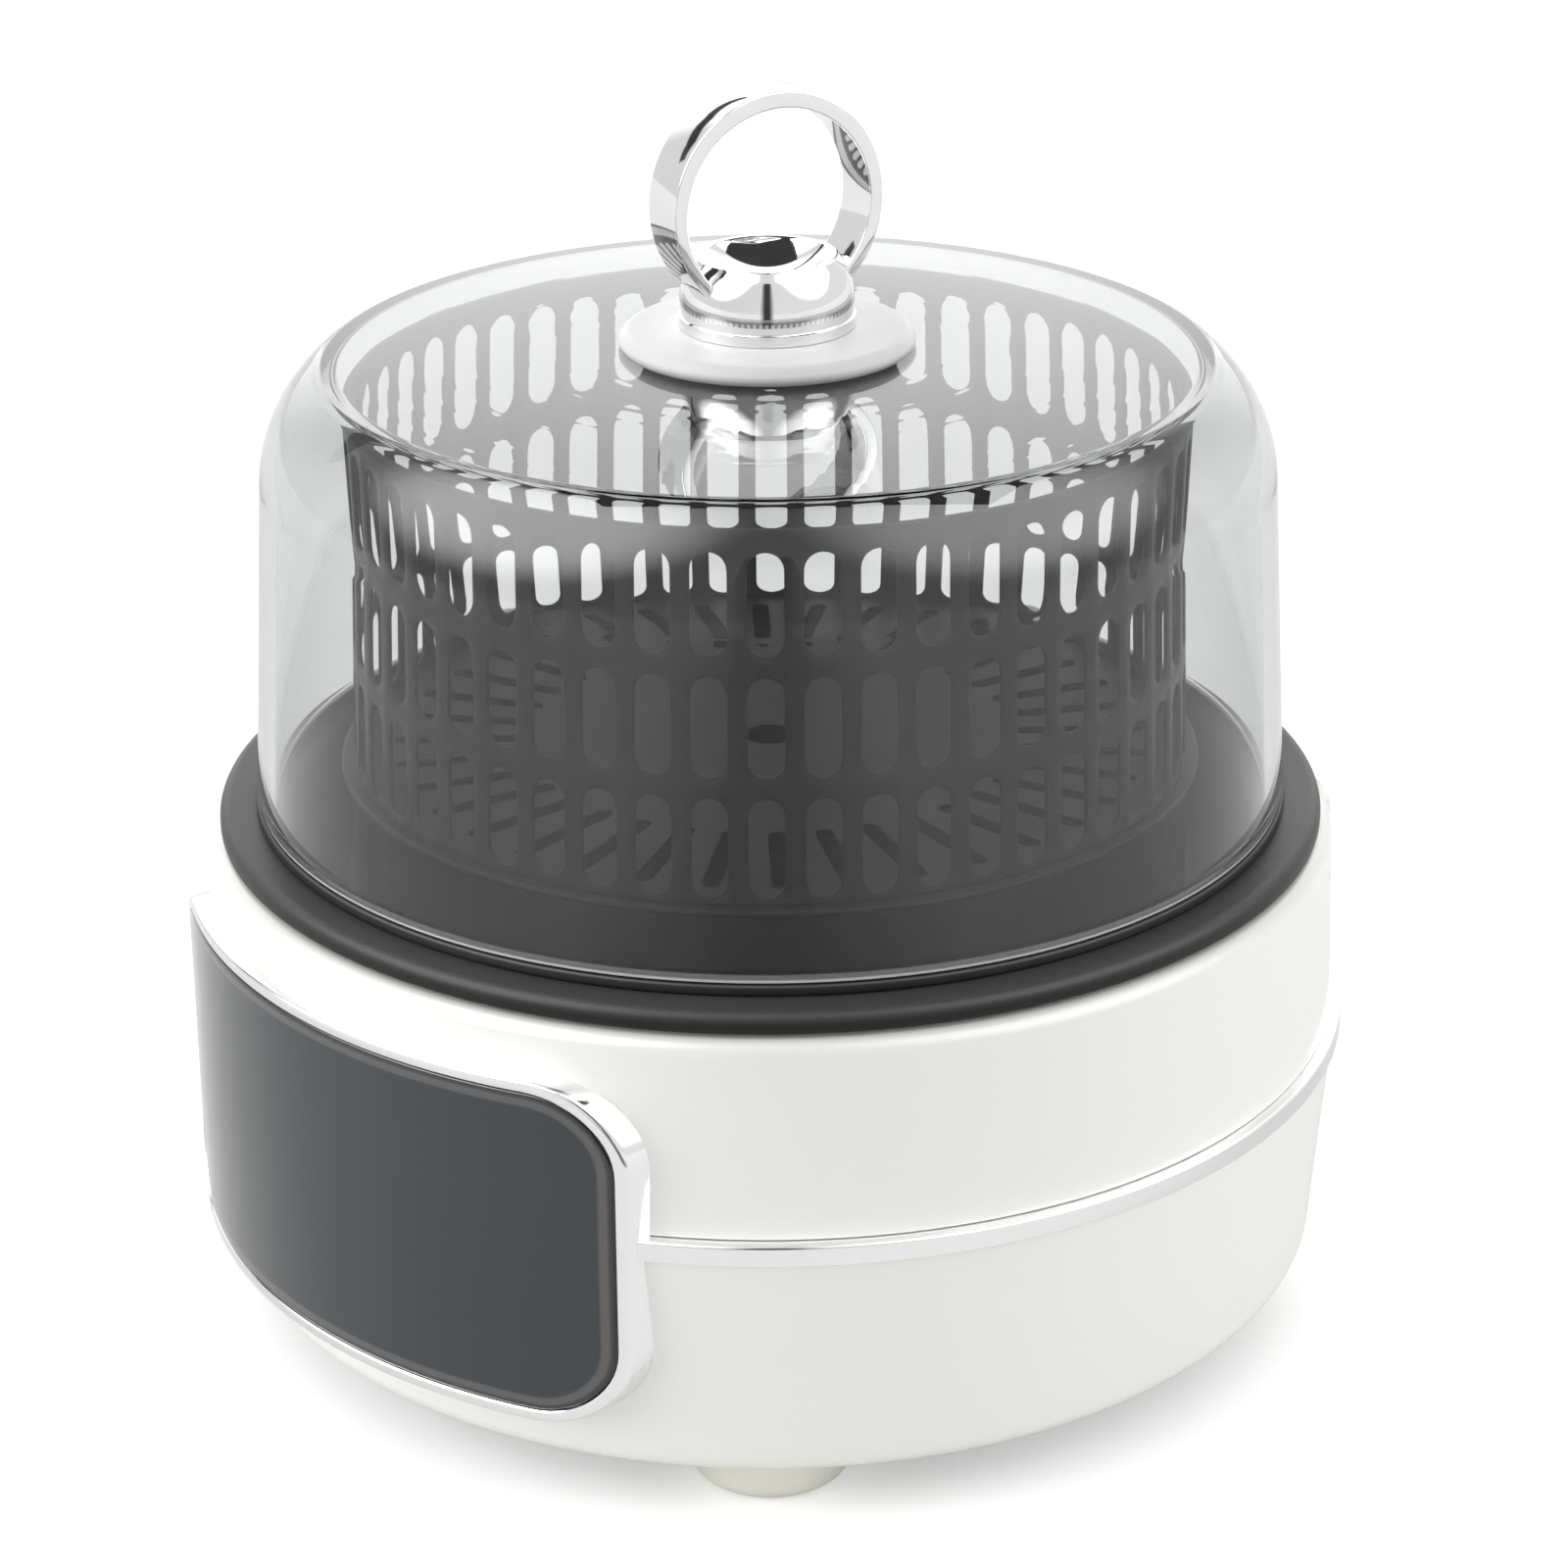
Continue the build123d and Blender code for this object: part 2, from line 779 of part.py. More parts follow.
def make_liner():
    """Bright metal liner round the pan, hung from the deck by its flange."""
    outer_top = liner_top_radius + liner_thickness
    outer_low = liner_low_radius + liner_thickness
    z_neck = z_deck_under - liner_neck_drop
    z_waist = z_deck_under - liner_slope_drop
    liner = turned(
        [
            (liner_hole_radius, liner_bottom),
            (outer_low, liner_bottom, liner_rounding + liner_thickness),
            (outer_low, z_waist, liner_rounding),
            (outer_top, z_neck, liner_rounding),
            (outer_top, z_deck_under - liner_thickness),
            (liner_flange_radius, z_deck_under - liner_thickness),
            (liner_flange_radius, z_deck_under),
            (liner_top_radius, z_deck_under),
            (liner_top_radius, z_neck, liner_rounding + liner_thickness),
            (liner_low_radius, z_waist, liner_rounding - liner_thickness),
            (liner_low_radius, z_liner_floor, liner_rounding),
            (liner_hole_radius, z_liner_floor),
        ]
    )
    for place in liner_screw_places:
        liner -= post(screw_radius + screw_clearance, z_deck_under - 3, z_deck_under + 1, place)
    for place in plate_post_places():
        liner -= post(screw_radius + screw_clearance, liner_bottom - 1, z_liner_floor + 1, place)
    for place in element_leg_places():
        liner -= post(terminal_radius + 2, liner_bottom - 1, z_liner_floor + 1, place)
    return liner


def plate_post_places():
    """Where the heating plate's posts stand."""
    step = 360 / plate_post_count
    return [at_bearing(plate_post_circle, 30 + index * step) for index in range(plate_post_count)]


def element_leg_places():
    """Where the heating element's legs go down."""
    bearings = (90 - element_end_angle, 90 + element_end_angle)
    return [at_bearing(element_radius, bearing) for bearing in bearings]


def element_body(tube_radius):
    """The element's tube: most of a circle, with a leg down at each end."""
    sweep_angle = 360 - 2 * element_end_angle
    section = Plane.XZ * Pos(element_radius, z_plate) * Circle(tube_radius)
    ring = revolve(section, Axis.Z, sweep_angle)
    body = Rot(0, 0, element_end_angle) * ring
    for place in element_leg_places():
        body += Pos(place[0], place[1], z_plate) * Sphere(tube_radius)
        body += post(tube_radius, z_plate - element_leg_drop, z_plate, place)
    return body


def make_heating_plate():
    """Cast plate under the pan, bedded on the element, with a hole for the probe."""
    sleeve_outer = sleeve_inner_radius + sleeve_wall
    plate = turned(
        [
            (sleeve_outer + 0.4, z_plate),
            (plate_radius, z_plate, 1.5),
            (plate_radius, z_plate_top, 1.5),
            (sleeve_outer + 0.4, z_plate_top, 0.6),
        ]
    )
    return plate - element_body(element_tube_radius + element_bed_gap)


def make_terminals():
    """Insulator and tab under each leg of the element."""
    parts = []
    leg_end = z_plate - element_leg_drop
    for place in element_leg_places():
        base = leg_end - terminal_height
        bush = post(terminal_radius, base, leg_end, place)
        tab = block(
            (place[0] - 3.15, place[1] - 0.4, base - tab_length),
            (place[0] + 3.15, place[1] + 0.4, base),
        )
        parts.append(bush + tab)
    return parts


def make_fuse():
    """Thermal fuse that lies against the plate's underside."""
    height = z_plate - fuse_radius
    start = (-fuse_length / 2, fuse_offset, height)
    end = (fuse_length / 2, fuse_offset, height)
    return across(fuse_radius, start, end)


def make_fuse_clip():
    """Strap that holds the fuse against the plate, with a flat lug on each side."""
    height = z_plate - fuse_radius
    half = fuse_clip_width / 2
    outer = fuse_radius + fuse_clip_thickness
    strap = across(outer, (-half, fuse_offset, height), (half, fuse_offset, height))
    strap += block((-half, fuse_offset - outer, height), (half, fuse_offset + outer, z_plate))
    lug = z_plate - fuse_clip_thickness
    strap += block((-half, fuse_offset - outer - 6, lug), (half, fuse_offset + outer + 6, z_plate))
    keep = across(fuse_radius, (-half - 1, fuse_offset, height), (half + 1, fuse_offset, height))
    keep_low = (-half - 1, fuse_offset - fuse_radius, height)
    keep += block(keep_low, (half + 1, fuse_offset + fuse_radius, z_plate + 2))
    above = block((-half - 1, fuse_offset - outer, z_plate), (half + 1, fuse_offset + outer, z_plate + 2))
    return strap - keep - above


def make_probe_sleeve():
    """Guide for the probe, on the liner's floor."""
    outer = sleeve_inner_radius + sleeve_wall
    top = z_plate_top - sleeve_top_drop
    return turned(
        [
            (2.5, z_liner_floor),
            (liner_hole_radius + 5, z_liner_floor),
            (liner_hole_radius + 5, z_liner_floor + sleeve_floor),
            (outer, z_liner_floor + sleeve_floor),
            (outer, top),
            (sleeve_inner_radius, top),
            (sleeve_inner_radius, z_liner_floor + sleeve_floor),
            (2.5, z_liner_floor + sleeve_floor),
        ]
    )


probe_radius = sleeve_inner_radius - probe_running_gap


def make_probe_cap():
    """Cup that the pan presses down, which holds the temperature sensor."""
    bottom = z_plate_top - probe_skirt
    roof = z_plate_top - probe_wall
    return turned(
        [
            (0, roof),
            (probe_radius - probe_wall, roof),
            (probe_radius - probe_wall, bottom),
            (probe_radius, bottom),
            (probe_radius, z_plate_top, 1.0),
            (0, z_plate_top),
        ]
    )


def make_probe_spring():
    """Spring under the probe's cap: a plain sleeve of the coil's size."""
    low = z_liner_floor + sleeve_floor
    high = z_plate_top - probe_wall
    return tube(spring_radius, spring_radius - spring_wire, low, high)


def make_power_board():
    """Mains board on the cover's posts."""
    half_x = power_board_length / 2
    half_y = power_board_width / 2
    board = block(
        (power_board_x - half_x, -half_y, z_power_board),
        (power_board_x + half_x, half_y, z_power_board + board_thickness),
    )
    for place in board_post_places():
        board -= post(screw_radius, z_power_board - 1, z_power_board + board_thickness + 1, place)
    return board


def make_power_board_parts():
    """Transformer, relay, capacitor, heat sink and terminal block on the board."""
    base = z_power_parts
    top = base + power_part_height
    x = power_board_x
    transformer = block((x - 30, 4, base), (x - 4, 32, top))
    relay = block((x + 8, 8, base), (x + 27, 24, top - 1))
    capacitor = post(6, base, top - 0.5, (x + 20, -10, 0))
    sink = block((x - 26, -24, base), (x - 22, 0, top))
    terminal_block = block((x - 10, -36, base), (x + 12, -26, top - 3))
    return [transformer, relay, capacitor, sink, terminal_block]


def make_pan():
    """Pan with a rolled rim, a sloped mouth and a ledge that carries the basket."""
    ledge_under = z_pan_ledge - pan_wall
    return turned(
        [
            (0, z_pan_under),
            (pan_bottom_radius + pan_wall, z_pan_under, pan_bottom_rounding + pan_wall),
            (pan_ledge_inner_radius + pan_wall, ledge_under, 1.5),
            (pan_ledge_outer_radius + 0.8 * pan_wall, ledge_under, 3.0),
            (pan_mouth_radius + 0.7 * pan_wall, z_seat, 2.5),
            (pan_rim_radius - pan_wall, z_seat, 0.6),
            (pan_rim_radius - pan_wall, z_rim - pan_rim_drop, 0.5),
            (pan_rim_radius, z_rim - pan_rim_drop, 0.9),
            (pan_rim_radius, z_rim, pan_rim_rounding),
            (pan_mouth_radius, z_rim, pan_mouth_rounding),
            (pan_ledge_outer_radius, z_pan_ledge, 1.0),
            (pan_ledge_inner_radius, z_pan_ledge, 1.0),
            (pan_bottom_radius, z_pan_floor, pan_bottom_rounding),
            (0, z_pan_floor),
        ]
    )


def basket_radius_at(height):
    """The basket wall's outer radius at a height above the bead."""
    share = height / basket_wall_height
    return basket_foot_radius + (basket_top_radius - basket_foot_radius) * share


def make_basket_wall():
    """Drum wall, drawn in a little towards its rolled lip, with rows of upright slots."""
    top = z_bead + basket_wall_height
    drum = turned(
        [
            (basket_foot_radius - basket_wall, z_bead),
            (basket_foot_radius, z_bead),
            (basket_top_radius, top - basket_lip, 0.5),
            (basket_top_radius + basket_lip, top - basket_lip, 0.4),
            (basket_top_radius + basket_lip, top, 0.4),
            (basket_top_radius - basket_wall, top, 0.6),
        ]
    )
    near = basket_top_radius - 6
    far = basket_foot_radius + 4
    cutters = []
    for row in range(slot_rows):
        middle = z_bead + slot_start + slot_length / 2 + row * slot_pitch
        for column in range(slot_columns):
            bearing = slot_bearing + column * 360 / slot_columns
            outward = at_bearing(1, bearing)
            plane = Plane(
                origin=at_bearing(near, bearing, middle), x_dir=(0, 0, 1), z_dir=outward
            )
            cutters.append(extrude(plane * SlotOverall(slot_length, slot_width), amount=far - near))
    return drum - cutters


def make_basket_floor():
    """Floor plate with a ring of radial slots."""
    radius = bead_radius - 3.5
    plate = tube(radius, 0.0, z_bead - floor_thickness, z_bead)
    middle = (floor_slot_inner + floor_slot_outer) / 2
    length = floor_slot_outer - floor_slot_inner
    cutters = []
    for index in range(floor_slot_count):
        bearing = index * 360 / floor_slot_count
        spot = at_bearing(middle, bearing, z_bead - floor_thickness - 1)
        plane = Plane(origin=spot, x_dir=at_bearing(1, bearing), z_dir=(0, 0, 1))
        cutters.append(
            extrude(plane * SlotOverall(length, floor_slot_width), amount=floor_thickness + 2)
        )
    cutters.append(post(6, z_bead - 3, z_bead + 2))
    return plate - cutters


def make_basket_skirt():
    """Plain skirt below the bead, which stands on the pan's ledge."""
    inner = skirt_radius - skirt_wall
    shelf = bead_radius - 3.4
    shelf_top = z_bead - floor_thickness
    return turned(
        [
            (inner, z_pan_ledge),
            (skirt_radius, z_pan_ledge),
            (skirt_radius, z_bead - bead_height),
            (bead_radius, z_bead - bead_height, 0.9),
            (bead_radius, z_bead, 0.9),
            (shelf, z_bead),
            (shelf, shelf_top),
            (shelf - 1.4, shelf_top),
            (shelf - 1.4, shelf_top - 0.8),
            (inner, shelf_top - 0.8),
        ]
    )


def make_dome():
    """Glass dome: a slightly flared wall, a rounded shoulder and a flat top."""
    lean = Vector(dome_shoulder_radius - dome_foot_radius, 0, z_shoulder - z_glass)
    inner_crease = dome_crease_radius - glass_wall
    z_inner_crease = z_crease - 0.8 * glass_wall
    z_inner_top = z_dome_top - glass_wall
    lip = 1.3
    foot_out = Vector(dome_foot_radius, 0, z_glass)
    foot_in = Vector(dome_foot_radius - glass_wall, 0, z_glass)
    shoulder_out = Vector(dome_shoulder_radius, 0, z_shoulder)
    shoulder_in = Vector(dome_shoulder_radius - glass_wall, 0, z_shoulder)
    crease_out = Vector(dome_crease_radius, 0, z_crease)
    crease_in = Vector(inner_crease, 0, z_inner_crease)
    flat_out = Vector(dome_flat_radius, 0, z_dome_top)
    flat_in = Vector(dome_flat_radius, 0, z_inner_top)
    rise = lean.normalized()
    foot_round = Vector(dome_foot_radius - 0.3 * lip, 0, z_glass + 0.3 * lip)
    foot_round_in = Vector(dome_foot_radius - glass_wall + 0.3 * lip, 0, z_glass + 0.3 * lip)
    edges = [
        Line((dome_hole_radius, 0, z_inner_top), flat_in),
        TangentArc(flat_in, crease_in, tangent=(1, 0, 0)),
        TangentArc(shoulder_in, crease_in, tangent=lean),
        Line(shoulder_in, foot_in + rise * lip),
        ThreePointArc(foot_in + rise * lip, foot_round_in, foot_in + Vector(lip, 0, 0)),
        Line(foot_in + Vector(lip, 0, 0), foot_out - Vector(lip, 0, 0)),
        ThreePointArc(foot_out - Vector(lip, 0, 0), foot_round, foot_out + rise * lip),
        Line(foot_out + rise * lip, shoulder_out),
        TangentArc(shoulder_out, crease_out, tangent=lean),
        TangentArc(flat_out, crease_out, tangent=(1, 0, 0)),
        Line(flat_out, (dome_hole_radius, 0, z_dome_top)),
        Line((dome_hole_radius, 0, z_dome_top), (dome_hole_radius, 0, z_inner_top)),
    ]
    dome = turned_edges(edges)
    crease = [
        edge
        for edge in dome.edges().filter_by(GeomType.CIRCLE)
        if abs(edge.radius - dome_crease_radius) < 0.01
    ]
    return fillet(crease, 1.2)


def make_seal():
    """Dark ring between the glass foot and the pan's rim."""
    return turned(
        [
            (seal_inner_radius, z_rim),
            (seal_outer_radius, z_rim, 0.8),
            (seal_outer_radius, z_glass, 0.6),
            (seal_inner_radius, z_glass, 0.6),
        ]
    )


def make_disc():
    """Soft-edged white disc between the glass and the knob."""
    return turned(
        [
            (stud_radius + 0.2, z_dome_top),
            (disc_radius - 1.4, z_dome_top, 0.5),
            (disc_radius, z_dome_top + 1.6, 1.4),
            (disc_radius - 2.2, z_disc_top - 0.7, 3.0),
            (collar_radius + 4, z_disc_top, 6.0),
            (stud_radius + 0.2, z_disc_top),
        ]
    )


def knob_outside():
    """The knob's outer form: a collar, a bulged flank and a dished top."""
    z_flank = z_disc_top + collar_height
    flank_mid_radius = (knob_foot_radius + knob_lip_radius) / 2 + knob_bulge
    flank_mid = Vector(flank_mid_radius, 0, (z_flank + z_knob_top) / 2)
    lip_out = Vector(knob_lip_radius, 0, z_knob_top)
    lip_in = Vector(knob_lip_radius - knob_lip_width, 0, z_knob_top)
    dish_low = Vector(0, 0, z_knob_top - knob_dish_depth)
    collar_low = Vector(collar_radius, 0, z_disc_top)
    collar_high = Vector(collar_radius, 0, z_flank)
    flank_low = Vector(knob_foot_radius, 0, z_flank)
    centre = Vector(0, 0, z_disc_top)
    edges = [
        Line(centre, collar_low),
        Line(collar_low, collar_high),
        Line(collar_high, flank_low),
        ThreePointArc(flank_low, flank_mid, lip_out),
        Line(lip_out, lip_in),
        TangentArc(dish_low, lip_in, tangent=(1, 0, 0)),
        Line(dish_low, centre),
    ]
    return turned_edges(edges)


def make_knob():
    """Chrome knob with a blind hole for the stud."""
    knob = knob_outside()
    lip = [
        edge
        for edge in knob.edges().filter_by(GeomType.CIRCLE)
        if abs(edge.arc_center.Z - z_knob_top) < 0.01 and abs(edge.radius - knob_lip_radius) < 0.01
    ]
    knob = fillet(lip, 0.35)
    return knob - post(stud_radius, z_disc_top - 1, z_disc_top + stud_in_knob)


def make_ring():
    """Ring handle: a band a little thicker at its top, whose ends meet the knob's flanks."""
    angle = math.radians(ring_bearing)
    axis = Vector(math.sin(angle), -math.cos(angle), 0)
    start = Vector(0, 0, z_ring) - axis * (ring_width / 2)
    plane = Plane(origin=start, x_dir=(0, 0, 1), z_dir=axis)
    gap = Pos(-ring_crown, 0) * Circle(ring_radius - ring_thickness)
    hoop = extrude(plane * (Circle(ring_radius) - gap), amount=ring_width)
    hoop = chamfer(hoop.edges(), ring_chamfer)
    return hoop - knob_outside()


def make_stud():
    """Stud from the knob through disc and glass."""
    low = z_dome_top - glass_wall - washer_thickness - nut_height - stud_end
    return post(stud_radius, low, z_disc_top + stud_in_knob)


def make_washer():
    """Washer under the glass."""
    top = z_dome_top - glass_wall
    return tube(washer_radius, stud_radius + 0.2, top - washer_thickness, top)


def make_nut():
    """Hexagon nut under the washer."""
    top = z_dome_top - glass_wall - washer_thickness
    plane = Plane(origin=(0, 0, top - nut_height), z_dir=(0, 0, 1))
    shape = RegularPolygon(nut_radius, 6) - Circle(stud_radius)
    return extrude(plane * shape, amount=nut_height)


save("lower_shell", make_lower_shell())
save("upper_shell", make_upper_shell())
save("chrome_band", make_band())
save("bottom_cover", make_bottom_cover())
for foot_name, foot_place in foot_places.items():
    save(foot_name, make_foot(foot_place))
save("foot_screws", *[
    screw_up(place, foot_recess_depth, foot_screw_length) for place in foot_places.values()
])
save("cover_screws", *[screw_up(place, z_cover, cover_screw_length) for place in cover_screw_places])

save("panel_bezel", make_bezel())
glass_corner = panel_corner - bezel_width
save("panel_glass", panel_layer(glass_outer, glass_inner, bezel_width + panel_glass_gap, glass_corner))
save("touch_film", panel_layer(glass_inner, film_inner, carrier_inset, panel_corner - carrier_inset))
save("panel_carrier", make_carrier())
save("control_board", make_control_board())
save("control_board_parts", *make_control_board_parts())
save("control_board_screws", *make_control_screws())

save("rear_housing", make_rear_housing())
save("inlet_socket", make_inlet_socket())
save("inlet_pins", *make_inlet_pins())
save("inlet_screws", *make_inlet_screws())

save("liner", make_liner())
save("liner_screws", *[
    screw_up(place, z_deck_under - liner_thickness, liner_screw_length + liner_thickness)
    for place in liner_screw_places
])
save("heating_plate", make_heating_plate())
save("heating_element", element_body(element_tube_radius))
save("element_terminals", *make_terminals())
save("thermal_fuse", make_fuse())
save("fuse_clip", make_fuse_clip())
save("plate_posts", *[
    post(plate_post_radius, z_liner_floor, z_plate, place)
    - post(screw_radius, z_liner_floor - 1, z_liner_floor + 6, place)
    for place in plate_post_places()
])
save("plate_post_screws", *[
    screw_up(place, liner_bottom, liner_thickness + 6) for place in plate_post_places()
])
save("probe_sleeve", make_probe_sleeve())
save("probe_cap", make_probe_cap())
save("probe_spring", make_probe_spring())
save("power_board", make_power_board())
save("power_board_parts", *make_power_board_parts())
save("power_board_screws", *[
    screw_down(place, z_power_board + board_thickness, 5.5) for place in board_post_places()
])

save("pan", make_pan())
save("basket_wall", make_basket_wall())
save("basket_floor", make_basket_floor())
save("basket_skirt", make_basket_skirt())

save("glass_dome", make_dome())
save("lid_seal", make_seal())
save("lid_disc", make_disc())
save("knob_body", make_knob())
save("knob_ring", make_ring())
save("lid_stud", make_stud())
save("lid_washer", make_washer())
save("lid_nut", make_nut())
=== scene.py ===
import json
import math

import bmesh
import bpy
from mathutils import Matrix, Vector


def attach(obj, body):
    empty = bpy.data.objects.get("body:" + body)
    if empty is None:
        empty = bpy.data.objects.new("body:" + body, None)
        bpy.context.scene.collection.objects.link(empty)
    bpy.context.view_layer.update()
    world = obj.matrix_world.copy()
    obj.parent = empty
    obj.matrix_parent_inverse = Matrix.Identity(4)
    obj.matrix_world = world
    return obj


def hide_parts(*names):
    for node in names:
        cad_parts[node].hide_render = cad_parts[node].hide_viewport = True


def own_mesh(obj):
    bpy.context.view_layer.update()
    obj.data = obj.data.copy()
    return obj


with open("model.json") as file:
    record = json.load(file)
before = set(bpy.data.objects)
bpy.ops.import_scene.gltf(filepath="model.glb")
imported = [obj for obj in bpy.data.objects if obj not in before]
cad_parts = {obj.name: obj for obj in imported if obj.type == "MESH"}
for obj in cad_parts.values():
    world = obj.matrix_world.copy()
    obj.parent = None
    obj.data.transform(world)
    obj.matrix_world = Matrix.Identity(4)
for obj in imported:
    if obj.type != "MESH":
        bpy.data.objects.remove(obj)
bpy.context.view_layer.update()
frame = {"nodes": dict(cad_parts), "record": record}  # frame["bodies"], ["nodes"], ["joints"], ["record"]

MM = 0.001

# Levels above the floor, in millimetres
Z_COVER = 11.5
Z_PROBE_FLOOR = 40.0
Z_PROBE_ROOF = 53.9
Z_PAN_FLOOR = 58.0
Z_INLET_LOW = 60.7
Z_BAND = 67.5
Z_UPPER = 73.0
Z_INLET_HIGH = 81.3
Z_PAN_LEDGE = 104.0
Z_DECK = 118.6
Z_SEAT = 122.0
Z_RIM = 124.2
Z_GLASS = 126.8
Z_BEAD = 135.4
Z_SHOULDER = 202.6
Z_CREASE = 228.6
Z_DOME_TOP = 231.0
Z_DISC_TOP = 235.9
Z_KNOB_TOP = 252.3

# Radii about the upright axis
PAN_FLOOR_RADIUS = 93.0
PAN_STEP_RADIUS = 97.3
PAN_LEDGE_RADIUS = 101.0
PAN_MOUTH_RADIUS = 114.5
PAN_RIM_RADIUS = 130.0
SKIRT_RADIUS = 98.0
BEAD_RADIUS = 101.0
DRUM_FOOT_RADIUS = 98.0
DRUM_TOP_RADIUS = 95.2
GLASS_FOOT_RADIUS = 121.0
SHOULDER_RADIUS = 116.8
CREASE_RADIUS = 102.0
DOME_MIDDLE_RADIUS = 36.0
STUD_HOLE_RADIUS = 3.4
SEAL_INNER_RADIUS = 117.6
SEAL_OUTER_RADIUS = 121.4
DISC_RADIUS = 34.4
DISC_HOLE_RADIUS = 3.2
KNOB_COLLAR_RADIUS = 20.2
KNOB_FOOT_RADIUS = 19.7
KNOB_TOP_RADIUS = 16.5
BAND_RADIUS = 137.0
PANEL_REACH = 138.6
PANEL_SEAT = 136.4
LOWER_FOOT_RADIUS = 131.0
LOWER_TOP_RADIUS = 135.6
LOWER_INLET_RADIUS = 134.926
UPPER_FOOT_RADIUS = 134.3
UPPER_INLET_RADIUS = 134.027
UPPER_TOP_RADIUS = 132.8
FOOT_CIRCLE_RADIUS = 104.0
COIL_RADIUS = 6.9

# Walls, widths and heights
PAN_WALL = 2.2
PAN_LIP = 4.8
SKIRT_WALL = 0.9
DRUM_WALL = 1.0
DRUM_HEIGHT = 84.2
HALF_WIRE = 0.5
GLASS_WALL = 4.0
SHELL_WALL = 2.8
PANEL_MIDDLE = 66.6
PANEL_HALF_WIDTH = 81.0
PANEL_HALF_HEIGHT = 41.5
PANEL_CORNER = 20.5
BEZEL_WIDTH = 2.8
REAR_HALF_WIDTH = 54.0

# The drum's slots. The bearing is in degrees from the front
SLOT_ROWS = 3
SLOT_COLUMNS = 50
SLOT_PITCH = 27.4
SLOT_FIRST_MIDDLE = 12.95
SLOT_FIRST_BEARING = 4.85
SLOT_HALF_WIDTH = 3.95
SLOT_HALF_LENGTH = 11.35

# The ring handle: radii about its own middle, its level above the disc and its bearing
RING_INNER = 22.9
RING_OUTER = 26.1
RING_HALF_WIDTH = 6.9
RING_RISE = 28.7
RING_BEARING = 75.2

# The opening in the shells for the inlet: degrees to each side of the back, and levels
INLET_WINDOW = (6.3, Z_INLET_LOW, Z_INLET_HIGH)

# The camera, in degrees and metres
CAMERA_BEARING = 48.5
CAMERA_RISE = 22.83
CAMERA_ROLL = -0.371
CAMERA_REACH = 1.00693
CAMERA_TARGET = 0.1221


# Meshes


def new_object(name, vertices, faces):
    """A mesh object from points in millimetres, with its faces turned outwards."""
    mesh = bpy.data.meshes.new(name)
    mesh.from_pydata([Vector(v) * MM for v in vertices], [], faces)
    work = bmesh.new()
    work.from_mesh(mesh)
    bmesh.ops.remove_doubles(work, verts=work.verts, dist=0.000005)
    bmesh.ops.recalc_face_normals(work, faces=work.faces)
    work.to_mesh(mesh)
    work.free()
    piece = bpy.data.objects.new(name, mesh)
    bpy.context.scene.collection.objects.link(piece)
    return piece


def shade(piece, angle=35.0):
    """Smooth shading with sharp edges where the faces meet at more than an angle."""
    mesh = piece.data
    mesh.polygons.foreach_set("use_smooth", [True] * len(mesh.polygons))
    work = bmesh.new()
    work.from_mesh(mesh)
    limit = math.radians(angle)
    for edge in work.edges:
        edge.smooth = len(edge.link_faces) == 2 and edge.calc_face_angle(0.0) < limit
    work.to_mesh(mesh)
    work.free()
    return piece


def polar(radius, turn, height):
    """A point at an angle from the front, anticlockwise as seen from above."""
    return (radius * math.sin(turn), -radius * math.cos(turn), height)


def new_row(vertices, points):
    """Adds the points to the vertices and returns their indices."""
    start = len(vertices)
    vertices.extend(points)
    return list(range(start, len(vertices)))


def stitch(faces, rows):
    """Adds four-sided faces between each closed row of indices and the next."""
    for low, high in zip(rows, rows[1:]):
        for index in range(len(low)):
            following = (index + 1) % len(low)
            faces.append([low[index], low[following], high[following], high[index]])


def tube(faces, rows):
    """Stitches the rows and closes both ends."""
    stitch(faces, rows)
    faces.append(list(reversed(rows[0])))
    faces.append(rows[-1])


def rounded(corners, steps=5):
    """Points of a closed outline whose corners (across, up, rounding) are rounded."""
    count = len(corners)
    points = []
    for index, corner in enumerate(corners):
        here = Vector(corner[:2])
        if len(corner) == 2:
            points.append(tuple(here))
            continue
        before = (Vector(corners[index - 1][:2]) - here).normalized()
        after = (Vector(corners[(index + 1) % count][:2]) - here).normalized()
        half = before.angle(after) / 2
        centre = here + (before + after).normalized() * (corner[2] / math.sin(half))
        start = here + before * (corner[2] / math.tan(half))
        end = here + after * (corner[2] / math.tan(half))
        points.append(tuple(start))
        points += arc_points(centre, start, end, steps)
    return points


def arc_points(centre, start, end, steps):
    """Points after start on the short arc about centre from start to end."""
    first = start - centre
    turn = -first.angle_signed(end - centre)
    points = []
    for step in range(1, steps + 1):
        angle = turn * step / steps
        points.append((
            centre.x + first.x * math.cos(angle) - first.y * math.sin(angle),
            centre.y + first.x * math.sin(angle) + first.y * math.cos(angle),
        ))
    return points


def tangent_arc(start, tangent, end, steps):
    """Points after start on the arc that leaves start along tangent and ends at end."""
    start, tangent, end = Vector(start), Vector(tangent).normalized(), Vector(end)
    normal = Vector((-tangent.y, tangent.x))
    chord = end - start
    reach = chord.dot(chord) / (2 * chord.dot(normal))
    return arc_points(start + normal * reach, start, end, steps)


def held(outline, near=0.4, long=4.0):
    """The outline with a point close to each end of a long stretch, which keeps it flat."""
    points = []
    for index, here in enumerate(outline):
        following = outline[(index + 1) % len(outline)]
        points.append(here)
        start, end = Vector(here), Vector(following)
        length = (end - start).length
        if length > long:
            points.append(tuple(start.lerp(end, near / length)))
            points.append(tuple(start.lerp(end, 1.0 - near / length)))
    return points


